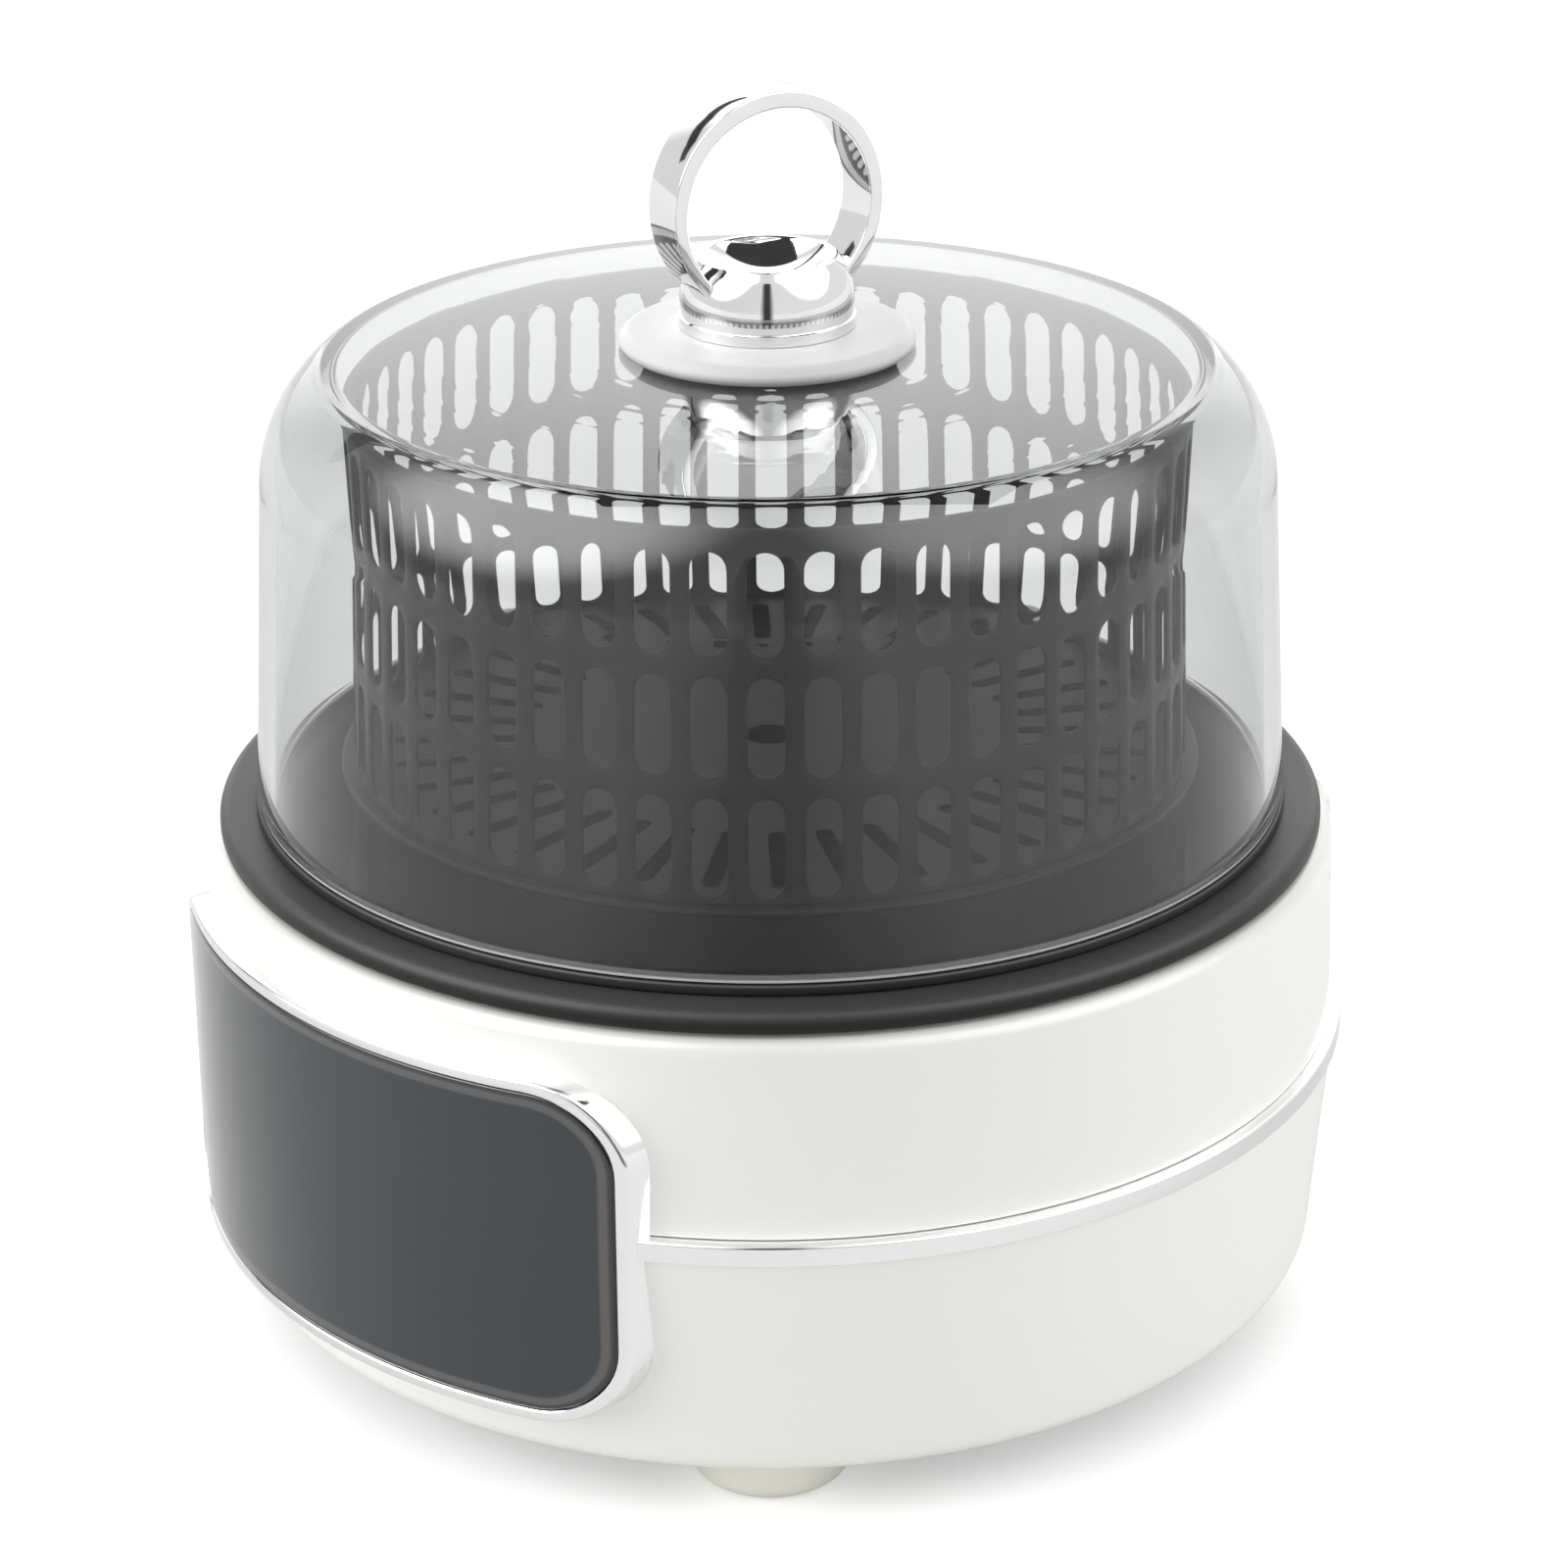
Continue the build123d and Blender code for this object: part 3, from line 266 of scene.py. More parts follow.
def lathe(name, outline, segments=256, angle=35.0, window=None, spot=(0.0, 0.0)):
    """Turns a closed outline of (radius, height) points about an upright axis at a spot.
    A window of (half angle in degrees, low, high) leaves the faces at the back open."""
    outline = held(outline)
    vertices, rings, faces = [], [], []
    for radius, height in outline:
        if radius < 1e-6:
            rings.append(new_row(vertices, [(spot[0], spot[1], height)]) * segments)
            continue
        turned = [polar(radius, 2 * math.pi * step / segments, height) for step in range(segments)]
        rings.append(new_row(vertices, [(x + spot[0], y + spot[1], z) for x, y, z in turned]))
    for index, low in enumerate(rings):
        after = (index + 1) % len(rings)
        high = rings[after]
        middle = (outline[index][1] + outline[after][1]) / 2
        for step in range(segments):
            from_back = abs((step + 0.5) * 360 / segments - 180)
            if window and from_back < window[0] and window[1] < middle < window[2]:
                continue
            following = (step + 1) % segments
            corners = [low[step], low[following], high[following], high[step]]
            unique = list(dict.fromkeys(corners))
            if len(unique) > 2:
                faces.append(unique)
    return shade(new_object(name, vertices, faces), angle)


# Shader nodes


def link(tree, source, target):
    tree.links.new(source, target)


def add(tree, kind, **values):
    """A node with its input sockets set by name."""
    node = tree.nodes.new(kind)
    for name, value in values.items():
        node.inputs[name.replace("_", " ")].default_value = value
    return node


def noise(tree, coordinates, scale, detail=3.0, roughness=0.55):
    node = add(tree, "ShaderNodeTexNoise", Scale=scale, Detail=detail, Roughness=roughness)
    link(tree, coordinates, node.inputs["Vector"])
    return node.outputs["Fac"]


def ramp(tree, value, start, end, low, high, kind="LINEAR"):
    """Maps start..end to low..high and holds both ends."""
    node = add(
        tree, "ShaderNodeMapRange", From_Min=start, From_Max=end, To_Min=low, To_Max=high
    )
    node.interpolation_type = kind
    link(tree, value, node.inputs["Value"])
    return node.outputs["Result"]


def span(tree, value, low, high):
    """Maps the middle half of a noise's values to low..high."""
    return ramp(tree, value, 0.25, 0.75, low, high)


def mix(tree, share, first, second):
    """Blends two colours by a share of the second. Each is a socket or three numbers."""
    node = tree.nodes.new("ShaderNodeMix")
    node.data_type = "RGBA"
    link(tree, share, node.inputs[0])
    for socket, colour in ((node.inputs[6], first), (node.inputs[7], second)):
        if isinstance(colour, tuple):
            socket.default_value = (*colour, 1.0)
        else:
            link(tree, colour, socket)
    return node.outputs[2]


def calc(tree, operation, first, second=0.0):
    """A step of arithmetic with sockets or numbers."""
    node = tree.nodes.new("ShaderNodeMath")
    node.operation = operation
    for socket, value in zip(node.inputs, (first, second)):
        if isinstance(value, float):
            socket.default_value = value
        else:
            link(tree, value, socket)
    return node.outputs[0]


def along(tree, vector, axis):
    """How far a vector reaches along an axis."""
    node = tree.nodes.new("ShaderNodeVectorMath")
    node.operation = "DOT_PRODUCT"
    link(tree, vector, node.inputs[0])
    node.inputs[1].default_value = axis
    return node.outputs["Value"]


def parts_of(tree, vector):
    """The three outputs of a vector split into its numbers."""
    node = tree.nodes.new("ShaderNodeSeparateXYZ")
    link(tree, vector, node.inputs[0])
    return node.outputs


def relief(tree, shader, height, strength):
    """Fine relief on a shader from a height."""
    node = add(tree, "ShaderNodeBump", Strength=strength, Distance=0.0004)
    link(tree, height, node.inputs["Height"])
    link(tree, node.outputs["Normal"], shader.inputs["Normal"])


def blank(name):
    """A new material, its node tree, its shader and its object coordinates."""
    material = bpy.data.materials.new(name)
    material.use_nodes = True
    tree = material.node_tree
    coordinates = tree.nodes.new("ShaderNodeTexCoord").outputs["Object"]
    return material, tree, tree.nodes["Principled BSDF"], coordinates


# Materials


def surface(
    name,
    colours,
    rough,
    scale,
    bump,
    bump_scale=None,
    metallic=0.0,
    coat=0.0,
    specular=0.5,
    stretch=(1.0, 1.0, 1.0),
):
    """A material whose colour, roughness and fine relief vary over the surface."""
    material, tree, shader, coordinates = blank(name)
    mapping = add(tree, "ShaderNodeMapping", Scale=stretch)
    link(tree, coordinates, mapping.inputs["Vector"])
    stretched = mapping.outputs["Vector"]
    wide = noise(tree, coordinates, 9.0, 2.0)
    link(tree, mix(tree, noise(tree, stretched, scale), *colours), shader.inputs["Base Color"])
    link(tree, span(tree, wide, *rough), shader.inputs["Roughness"])
    shader.inputs["Metallic"].default_value = metallic
    shader.inputs["Specular IOR Level"].default_value = specular
    shader.inputs["Coat Weight"].default_value = coat
    shader.inputs["Coat Roughness"].default_value = 0.05
    relief(tree, shader, noise(tree, stretched, bump_scale or scale), bump)
    return material


def make_cream_shell():
    colours = (0.82, 0.82, 0.785), (0.83, 0.828, 0.79)
    return surface("cream_shell", colours, (0.276, 0.28), 400.0, 0.02, 900.0, coat=0.2)


def make_chrome_trim():
    colours = (0.81, 0.82, 0.83), (0.86, 0.86, 0.86)
    return surface("chrome_trim", colours, (0.05, 0.1), 80.0, 0.015, 500.0, metallic=1.0)


def make_knob_chrome():
    colours = (0.8, 0.8, 0.8), (0.85, 0.85, 0.845)
    return surface("knob_chrome", colours, (0.03, 0.07), 90.0, 0.01, 300.0, metallic=1.0)


def make_grey_plastic():
    colours = (0.42, 0.42, 0.4), (0.47, 0.47, 0.45)
    return surface("grey_plastic", colours, (0.5, 0.6), 500.0, 0.15)


def make_foot_plastic():
    colours = (0.77, 0.765, 0.69), (0.8, 0.795, 0.72)
    return surface("foot_plastic", colours, (0.35, 0.5), 200.0, 0.05)


def make_dark_film():
    colours = (0.02, 0.022, 0.025), (0.03, 0.032, 0.036)
    return surface("dark_film", colours, (0.3, 0.4), 100.0, 0.02)


def make_board():
    colours = (0.02, 0.12, 0.05), (0.04, 0.2, 0.09)
    return surface("board", colours, (0.3, 0.45), 350.0, 0.1, stretch=(1.0, 1.0, 0.15))


def make_dark_parts():
    colours = (0.025, 0.025, 0.028), (0.045, 0.045, 0.048)
    return surface("dark_parts", colours, (0.4, 0.55), 700.0, 0.12)


def make_brass_pins():
    colours = (0.72, 0.55, 0.26), (0.8, 0.64, 0.34)
    return surface("brass_pins", colours, (0.2, 0.35), 400.0, 0.06, metallic=1.0)


def make_steel():
    colours = (0.5, 0.5, 0.51), (0.62, 0.62, 0.63)
    return surface("steel", colours, (0.25, 0.4), 600.0, 0.1, metallic=1.0)


def make_bright_liner():
    colours = (0.66, 0.66, 0.66), (0.78, 0.78, 0.78)
    brushed = (0.15, 0.15, 3.0)
    return surface(
        "bright_liner", colours, (0.22, 0.34), 200.0, 0.08, metallic=1.0, stretch=brushed
    )


def make_cast_plate():
    colours = (0.55, 0.55, 0.56), (0.68, 0.68, 0.69)
    return surface("cast_plate", colours, (0.3, 0.45), 900.0, 0.2, metallic=1.0)


def make_element_sheath():
    colours = (0.14, 0.13, 0.13), (0.26, 0.24, 0.22)
    return surface("element_sheath", colours, (0.4, 0.6), 250.0, 0.15, metallic=0.9)


def make_ceramic():
    colours = (0.74, 0.72, 0.66), (0.8, 0.78, 0.73)
    return surface("ceramic", colours, (0.35, 0.5), 500.0, 0.08)


def make_seal_rubber():
    colours = (0.006, 0.006, 0.007), (0.01, 0.01, 0.011)
    return surface("seal_rubber", colours, (0.45, 0.6), 400.0, 0.08)


def make_white_disc():
    colours = (0.7, 0.7, 0.695), (0.73, 0.73, 0.725)
    return surface("white_disc", colours, (0.3, 0.42), 150.0, 0.03, 700.0, specular=0.12)


def make_non_stick():
    """Black coating, painted a little paler where it faces up and darker on its upright sides: painted
    light from above and painted shade.
    """
    lit_colours = (0.036, 0.036, 0.037), (0.06, 0.06, 0.061)
    painted_side_shade = (0.012, 0.012, 0.0125)
    material = surface("non_stick", lit_colours, (0.38, 0.48), 1500.0, 0.1, specular=0.22)
    tree = material.node_tree
    target = tree.nodes["Principled BSDF"].inputs["Base Color"]
    lit_colour_socket = target.links[0].from_socket
    normal = tree.nodes.new("ShaderNodeNewGeometry").outputs["Normal"]
    # Painted light and shade: the colour turns paler as the surface faces up and darkest where it stands
    # upright.
    painted_light_share = ramp(tree, parts_of(tree, normal)[2], 0.0, 0.8, 0.0, 1.0)
    link(tree, mix(tree, painted_light_share, painted_side_shade, lit_colour_socket), target)
    return material


def make_dome_glass():
    """Slightly grey clear glass, greyer at its shoulder, with a ground edge at its foot."""
    material, tree, shader, coordinates = blank("dome_glass")
    height = parts_of(tree, coordinates)[2]
    ground = ramp(tree, height, (Z_GLASS + 0.9) * MM, (Z_GLASS + 1.3) * MM, 1.0, 0.0)
    top = ramp(tree, height, (Z_CREASE - 14.0) * MM, (Z_CREASE + 1.0) * MM, 0.0, 1.0)
    tint = mix(tree, noise(tree, coordinates, 12.0, 2.0), (0.905, 0.91, 0.91), (0.93, 0.93, 0.93))
    greyer = mix(tree, top, tint, (0.68, 0.685, 0.685))
    link(tree, mix(tree, ground, greyer, (0.86, 0.87, 0.87)), shader.inputs["Base Color"])
    for socket, clear, frosted in (
        ("Transmission Weight", 1.0, 0.3),
        ("Roughness", 0.0, 0.45),
    ):
        link(tree, ramp(tree, ground, 0.0, 1.0, clear, frosted), shader.inputs[socket])
    shader.inputs["IOR"].default_value = 1.47
    depth = add(tree, "ShaderNodeVolumeAbsorption", Color=(0.3, 0.33, 0.33, 1.0), Density=60.0)
    link(tree, depth.outputs[0], tree.nodes["Material Output"].inputs["Volume"])
    relief(tree, shader, noise(tree, coordinates, 40.0, 1.0), 0.006)
    return material


def make_panel_glass():
    """Dark back-printed glass with a thin paler line near its edge, and a black band at its edge painted
    as the shade in the gap to the bezel.
    """
    material, tree, shader, coordinates = blank("panel_glass")
    line_inset = BEZEL_WIDTH + 2.3
    line_corner = (PANEL_CORNER - line_inset) * MM
    inner_x = (PANEL_HALF_WIDTH - line_inset) * MM - line_corner
    inner_z = (PANEL_HALF_HEIGHT - line_inset) * MM - line_corner
    place_of = parts_of(tree, coordinates)
    height = calc(tree, "SUBTRACT", place_of[2], PANEL_MIDDLE * MM)
    squares = []
    for distance, inner in ((place_of[0], inner_x), (height, inner_z)):
        beyond = calc(tree, "SUBTRACT", calc(tree, "ABSOLUTE", distance), inner)
        over = calc(tree, "MAXIMUM", beyond, 0.0)
        squares.append(calc(tree, "MULTIPLY", over, over))
    away = calc(tree, "SQRT", calc(tree, "ADD", *squares))
    outside = calc(tree, "SUBTRACT", away, line_corner)
    near = ramp(tree, calc(tree, "ABSOLUTE", outside), 0.0006, 0.0012, 1.0, 0.0)
    # Painted shade: a black band along the glass's edge stands for the shadow in the gap to the bezel.
    painted_gap_shade = ramp(tree, outside, 0.0015, 0.0017, 0.0, 1.0)
    cloud = noise(tree, coordinates, 22.0, 3.0)
    face = mix(tree, cloud, (0.017, 0.022, 0.025), (0.022, 0.028, 0.032))
    lined = mix(tree, near, face, (0.085, 0.08, 0.075))
    link(tree, mix(tree, painted_gap_shade, lined, (0.004, 0.004, 0.004)), shader.inputs["Base Color"])
    link(tree, span(tree, cloud, 0.1, 0.16), shader.inputs["Roughness"])
    shader.inputs["Coat Weight"].default_value = 0.35
    shader.inputs["Coat Roughness"].default_value = 0.03
    return material


MATERIALS = {
    "cream_shell": make_cream_shell(),
    "chrome_trim": make_chrome_trim(),
    "knob_chrome": make_knob_chrome(),
    "grey_plastic": make_grey_plastic(),
    "foot_plastic": make_foot_plastic(),
    "dark_film": make_dark_film(),
    "board": make_board(),
    "dark_parts": make_dark_parts(),
    "brass_pins": make_brass_pins(),
    "steel": make_steel(),
    "bright_liner": make_bright_liner(),
    "cast_plate": make_cast_plate(),
    "element_sheath": make_element_sheath(),
    "ceramic": make_ceramic(),
    "non_stick": make_non_stick(),
    "seal_rubber": make_seal_rubber(),
    "white_disc": make_white_disc(),
    "dome_glass": make_dome_glass(),
    "panel_glass": make_panel_glass(),
}
SLOT_OF_NODE = {row["node"]: row["material_slot"] for row in frame["record"]["subparts"]}

for node_name, cad_object in frame["nodes"].items():
    cad_object.data.materials.clear()
    cad_object.data.materials.append(MATERIALS[SLOT_OF_NODE[node_name]])


def place(piece, body, *nodes):
    """Gives a piece the material of its first CAD node's slot, puts it on its body and hides the CAD
    nodes that it stands for.
    """
    slot = SLOT_OF_NODE[nodes[0]]
    piece.data.materials.append(MATERIALS[slot])
    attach(piece, body)
    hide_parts(*nodes)
    return piece


# Pan and basket


def pan_outline():
    under_floor = Z_PAN_FLOOR - PAN_WALL
    under_ledge = Z_PAN_LEDGE - PAN_WALL
    under_lip = Z_RIM - PAN_LIP
    return rounded([
        (0, under_floor),
        (PAN_FLOOR_RADIUS + PAN_WALL, under_floor, 11.0 + PAN_WALL),
        (PAN_STEP_RADIUS + PAN_WALL, under_ledge, 1.5),
        (PAN_LEDGE_RADIUS + 1.76, under_ledge, 3.0),
        (PAN_MOUTH_RADIUS + 1.54, Z_SEAT, 2.5),
        (PAN_RIM_RADIUS - PAN_WALL, Z_SEAT, 0.6),
        (PAN_RIM_RADIUS - PAN_WALL, under_lip, 0.5),
        (PAN_RIM_RADIUS, under_lip, 0.9),
        (PAN_RIM_RADIUS, Z_RIM, 2.7),
        (PAN_MOUTH_RADIUS, Z_RIM, 5.0),
        (PAN_LEDGE_RADIUS, Z_PAN_LEDGE, 1.0),
        (PAN_STEP_RADIUS, Z_PAN_LEDGE, 1.0),
        (PAN_FLOOR_RADIUS, Z_PAN_FLOOR, 11.0),
        (0, Z_PAN_FLOOR),
    ], 8)


def skirt_outline():
    """The skirt, its bead and the inner step that the drum's wall stands on."""
    wall_inside, lip_inside = 97.6, 96.2
    shelf = Z_BEAD - 1.0
    under_shelf = shelf - 0.8
    under_bead = Z_BEAD - 2.0
    return rounded([
        (SKIRT_RADIUS, Z_PAN_LEDGE),
        (SKIRT_RADIUS + SKIRT_WALL, Z_PAN_LEDGE),
        (SKIRT_RADIUS + SKIRT_WALL, under_bead),
        (BEAD_RADIUS, under_bead, 0.9),
        (BEAD_RADIUS, Z_BEAD, 0.9),
        (wall_inside, Z_BEAD),
        (wall_inside, shelf),
        (lip_inside, shelf),
        (lip_inside, under_shelf),
        (SKIRT_RADIUS, under_shelf),
    ], 5)


def wall_radius(height):
    """Outer radius of the basket's wall at a height above the bead."""
    return DRUM_FOOT_RADIUS + (DRUM_TOP_RADIUS - DRUM_FOOT_RADIUS) * height / DRUM_HEIGHT


def oval_and_cell(half_slot_width, half_slot_length, half_cell_width, low, high, edge):
    """Matching rings of points: a slot's outline, the same a little wider, and its cell."""
    radius = half_slot_width
    straight = half_slot_length - radius
    turns = 10
    steps = [math.pi * step / turns for step in range(turns + 1)]
    high_corner = math.atan2(high - straight, half_cell_width)
    low_corner = math.atan2(-low - straight, half_cell_width)
    above = sorted(steps + [high_corner, math.pi - high_corner])
    below = sorted(steps + [low_corner, math.pi - low_corner])
    angles = [(straight, high, angle) for angle in above]
    angles += [(-straight, low, math.pi + angle) for angle in below]
    slot, wide, cell = [], [], []
    for lift, limit, angle in angles:
        across, up = math.cos(angle), math.sin(angle)
        slot.append((radius * across, lift + radius * up))
        wide.append(((radius + edge) * across, lift + (radius + edge) * up))
        side = math.copysign(half_cell_width, across)
        if abs(up) < 1e-9:
            cell.append((side, lift))
        elif abs(across / up * (limit - lift)) <= half_cell_width + 1e-6:
            cell.append((across / up * (limit - lift), limit))
        else:
            cell.append((side, lift + up / across * side))
    return slot, wide, cell


def make_drum():
    """Thin drum wall with its rows of upright slots and a rolled lip."""
    vertices, faces = [], []
    half_cell = 180.0 / SLOT_COLUMNS
    half_pitch = SLOT_PITCH / 2
    chamfer = 0.22

    def spot(bearing, height, depth):
        return polar(wall_radius(height) - depth, math.radians(bearing), Z_BEAD + height)

    for row in range(SLOT_ROWS):
        middle = SLOT_FIRST_MIDDLE + SLOT_PITCH * row
        low = -middle if row == 0 else -half_pitch
        degrees = math.degrees(1.0 / wall_radius(middle))
        slot, wide, cell = oval_and_cell(
            SLOT_HALF_WIDTH, SLOT_HALF_LENGTH, half_cell / degrees, low, half_pitch, chamfer
        )
        layers = (
            (cell, 0.0),
            (wide, 0.0),
            (slot, chamfer),
            (slot, DRUM_WALL - chamfer),
            (wide, DRUM_WALL),
            (cell, DRUM_WALL),
        )
        for column in range(SLOT_COLUMNS):
            bearing = SLOT_FIRST_BEARING + column * 360.0 / SLOT_COLUMNS
            rows = []
            for points, depth in layers:
                rows.append(new_row(vertices, [
                    spot(bearing + across * degrees, middle + up, depth) for across, up in points
                ]))
            stitch(faces, rows)
    plain_from = SLOT_FIRST_MIDDLE + SLOT_PITCH * (SLOT_ROWS - 1) + half_pitch
    top = DRUM_HEIGHT
    lip = [(0.0, plain_from), (0.0, top - 1.8), (-0.35, top - 1.45), (-1.25, top - 1.25)]
    lip += [(-1.25, top - 0.4), (-0.95, top - 0.05), (0.7, top - 0.05)]
    lip += [(DRUM_WALL, top - 0.4), (DRUM_WALL, plain_from)]
    segments = 240
    rows = []
    for depth, height in lip:
        rows.append(new_row(vertices, [
            spot(SLOT_FIRST_BEARING + index * 360.0 / segments, height, depth)
            for index in range(segments)
        ]))
    stitch(faces, rows)
    return shade(new_object("drum_wall", vertices, faces), 50)


place(lathe("pan_body", pan_outline(), 288), "pan", "pan")
place(lathe("drum_skirt", skirt_outline(), 240), "basket", "basket_skirt")
place(make_drum(), "basket", "basket_wall")


# Probe


def make_coil():
    """The probe's spring: a round wire wound between its floor and the cap's roof."""
    low = Z_PROBE_FLOOR + HALF_WIRE
    high = Z_PROBE_ROOF - HALF_WIRE
    drawn_wire = 0.98 * HALF_WIRE
    flat_end = 0.12
    steps, sides, turns = 400, 10, 6.5
    vertices, rows, faces = [], [], []
    for step in range(steps + 1):
        share = step / steps
        turn = 2 * math.pi * turns * share
        rise = min(max((share - flat_end) / (1 - 2 * flat_end), 0.0), 1.0)
        height = low + (high - low) * rise
        section = []
        for side in range(sides):
            angle = 2 * math.pi * side / sides
            radius = COIL_RADIUS + drawn_wire * math.cos(angle)
            section.append(polar(radius, turn, height + drawn_wire * math.sin(angle)))
        rows.append(new_row(vertices, section))
    tube(faces, rows)
    return shade(new_object("probe_coil", vertices, faces), 60)


coil = place(make_coil(), "base", "probe_spring")
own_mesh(coil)


# Lid


def dome_outline():
    foot = Vector((GLASS_FOOT_RADIUS, Z_GLASS))
    shoulder = Vector((SHOULDER_RADIUS, Z_SHOULDER))
    crease = (CREASE_RADIUS, Z_CREASE)
    lean = (shoulder - foot).normalized()
    inner_foot = GLASS_FOOT_RADIUS - GLASS_WALL
    inner_shoulder = (SHOULDER_RADIUS - GLASS_WALL, Z_SHOULDER)
    inner_crease = (CREASE_RADIUS - GLASS_WALL, Z_CREASE - 0.8 * GLASS_WALL)
    inner_top = Z_DOME_TOP - GLASS_WALL
    lip = 1.3
    outline = [(STUD_HOLE_RADIUS, inner_top), (DOME_MIDDLE_RADIUS, inner_top)]
    outline += tangent_arc(outline[-1], (1, 0), inner_crease, 10)
    up_inside = [inner_shoulder] + tangent_arc(inner_shoulder, lean, inner_crease, 20)
    outline += list(reversed(up_inside[:-1]))
    outline += [
        (inner_foot + lean.x * lip, Z_GLASS + lip),
        (inner_foot + 0.35, Z_GLASS + 0.4),
        (inner_foot + lip, Z_GLASS),
        (foot.x - lip, Z_GLASS),
        (foot.x - 0.35, Z_GLASS + 0.4),
        (foot.x + lean.x * lip, Z_GLASS + lip),
    ]
    outline += [tuple(shoulder)] + tangent_arc(shoulder, lean, crease, 24)[:-1]
    outline += [
        (CREASE_RADIUS + 0.42, Z_CREASE - 0.55),
        (CREASE_RADIUS + 0.12, Z_CREASE - 0.16),
        (CREASE_RADIUS - 0.3, Z_CREASE + 0.02),
    ]
    middle = (DOME_MIDDLE_RADIUS, Z_DOME_TOP)
    top = [middle] + tangent_arc(middle, (1, 0), crease, 10)
    outline += list(reversed(top[:-1]))
    outline.append((STUD_HOLE_RADIUS, Z_DOME_TOP))
    return outline


def knob_outline():
    """The knob with a low collar, a bulging flank and a dish in its top."""
    z_flank = Z_DISC_TOP + 2.8
    outline = [
        (0, Z_DISC_TOP),
        (KNOB_COLLAR_RADIUS - 0.2, Z_DISC_TOP),
        (KNOB_COLLAR_RADIUS, Z_DISC_TOP + 0.2),
        (KNOB_COLLAR_RADIUS, z_flank - 0.25),
        (KNOB_COLLAR_RADIUS - 0.2, z_flank - 0.05),
        (KNOB_FOOT_RADIUS + 0.02, z_flank),
    ]
    low = Vector((KNOB_FOOT_RADIUS, z_flank))
    middle = Vector((KNOB_FOOT_RADIUS - 0.25, (z_flank + Z_KNOB_TOP) / 2))
    high = Vector((KNOB_TOP_RADIUS, Z_KNOB_TOP))
    control = 2 * middle - (low + high) / 2
    for step in range(1, 15):
        share = step / 16
        flank = low * (1 - share) ** 2 + control * 2 * share * (1 - share) + high * share ** 2
        outline.append((flank.x, flank.y))
    for inward, drop in (
        (0.05, 0.5),
        (0.2, 0.2),
        (0.5, 0.04),
        (1.2, 0.0),
        (1.6, 0.06),
        (1.9, 0.25),
    ):
        outline.append((KNOB_TOP_RADIUS - inward, Z_KNOB_TOP - drop))
    dish_floor = (0, Z_KNOB_TOP - 6.4)
    dish_edge = (KNOB_TOP_RADIUS - 2.1, Z_KNOB_TOP - 0.5)
    dish = [dish_floor] + tangent_arc(dish_floor, (1, 0), dish_edge, 18)
    return outline + list(reversed(dish))


def make_ring():
    """The ring handle: a flat band with rounded edges, down to where it enters the knob."""
    profile = rounded([
        (RING_INNER, -RING_HALF_WIDTH, 0.4),
        (RING_OUTER, -RING_HALF_WIDTH, 0.4),
        (RING_OUTER, RING_HALF_WIDTH, 0.4),
        (RING_INNER, RING_HALF_WIDTH, 0.4),
    ], 5)
    crown = 0.6
    gap = 40.0
    steps = 200
    angle = math.radians(RING_BEARING)
    axis = Vector(polar(1.0, angle, 0.0))
    side = Vector((math.cos(angle), math.sin(angle), 0))
    up = Vector((0, 0, 1))
    vertices, rows, faces = [], [], []
    for step in range(steps + 1):
        turn = math.radians(-90 + gap + (360 - 2 * gap) * step / steps)
        outward = side * math.cos(turn) + up * math.sin(turn)
        section = []
        for radius, width in profile:
            sunk = crown * (RING_OUTER - radius) / (RING_OUTER - RING_INNER)
            height = Z_DISC_TOP + RING_RISE - sunk
            section.append(up * height + outward * radius + axis * width)
        rows.append(new_row(vertices, section))
    tube(faces, rows)
    return shade(new_object("ring_handle", vertices, faces), 40)


def disc_outline():
    return rounded([
        (DISC_HOLE_RADIUS, Z_DOME_TOP),
        (DISC_RADIUS - 1.4, Z_DOME_TOP, 0.5),
        (DISC_RADIUS, Z_DOME_TOP + 1.6, 1.4),
        (DISC_RADIUS - 2.2, Z_DISC_TOP - 0.7, 3.0),
        (DISC_RADIUS - 10.2, Z_DISC_TOP, 6.0),
        (DISC_HOLE_RADIUS, Z_DISC_TOP),
    ], 8)


def seal_outline():
    return rounded([
        (SEAL_INNER_RADIUS, Z_RIM),
        (SEAL_OUTER_RADIUS, Z_RIM, 0.8),
        (SEAL_OUTER_RADIUS, Z_GLASS, 0.6),
        (SEAL_INNER_RADIUS, Z_GLASS, 0.6),
    ], 4)


place(lathe("dome_shell", dome_outline(), 288, 40), "lid", "glass_dome")
place(lathe("seal_ring", seal_outline(), 240), "lid", "lid_seal")
place(lathe("disc", disc_outline(), 192), "lid", "lid_disc")
place(lathe("knob", knob_outline(), 192), "lid", "knob_body")
place(make_ring(), "lid", "knob_ring")


# Control panel


def panel_outline(inset):
    """Points (across, up) of the panel's outline, inset evenly."""
    half_x = PANEL_HALF_WIDTH - inset
    half_z = PANEL_HALF_HEIGHT - inset
    corner = max(PANEL_CORNER - inset, 0.0)
    arc_steps, long_steps, short_steps = 14, 40, 12
    signs = [(1, 1), (-1, 1), (-1, -1), (1, -1)]

    def on_corner(sign, angle):
        return (
            sign[0] * (half_x - corner) + corner * math.cos(angle),
            sign[1] * (half_z - corner) + corner * math.sin(angle),
        )

    points = []
    for index, sign in enumerate(signs):
        start = index * math.pi / 2
        for step in range(arc_steps + 1):
            points.append(on_corner(sign, start + math.pi / 2 * step / arc_steps))
        last = Vector(points[-1])
        end = Vector(on_corner(signs[(index + 1) % 4], start + math.pi / 2))
        steps = long_steps if index % 2 == 0 else short_steps
        for step in range(1, steps):
            points.append(tuple(last.lerp(end, step / steps)))
    return points


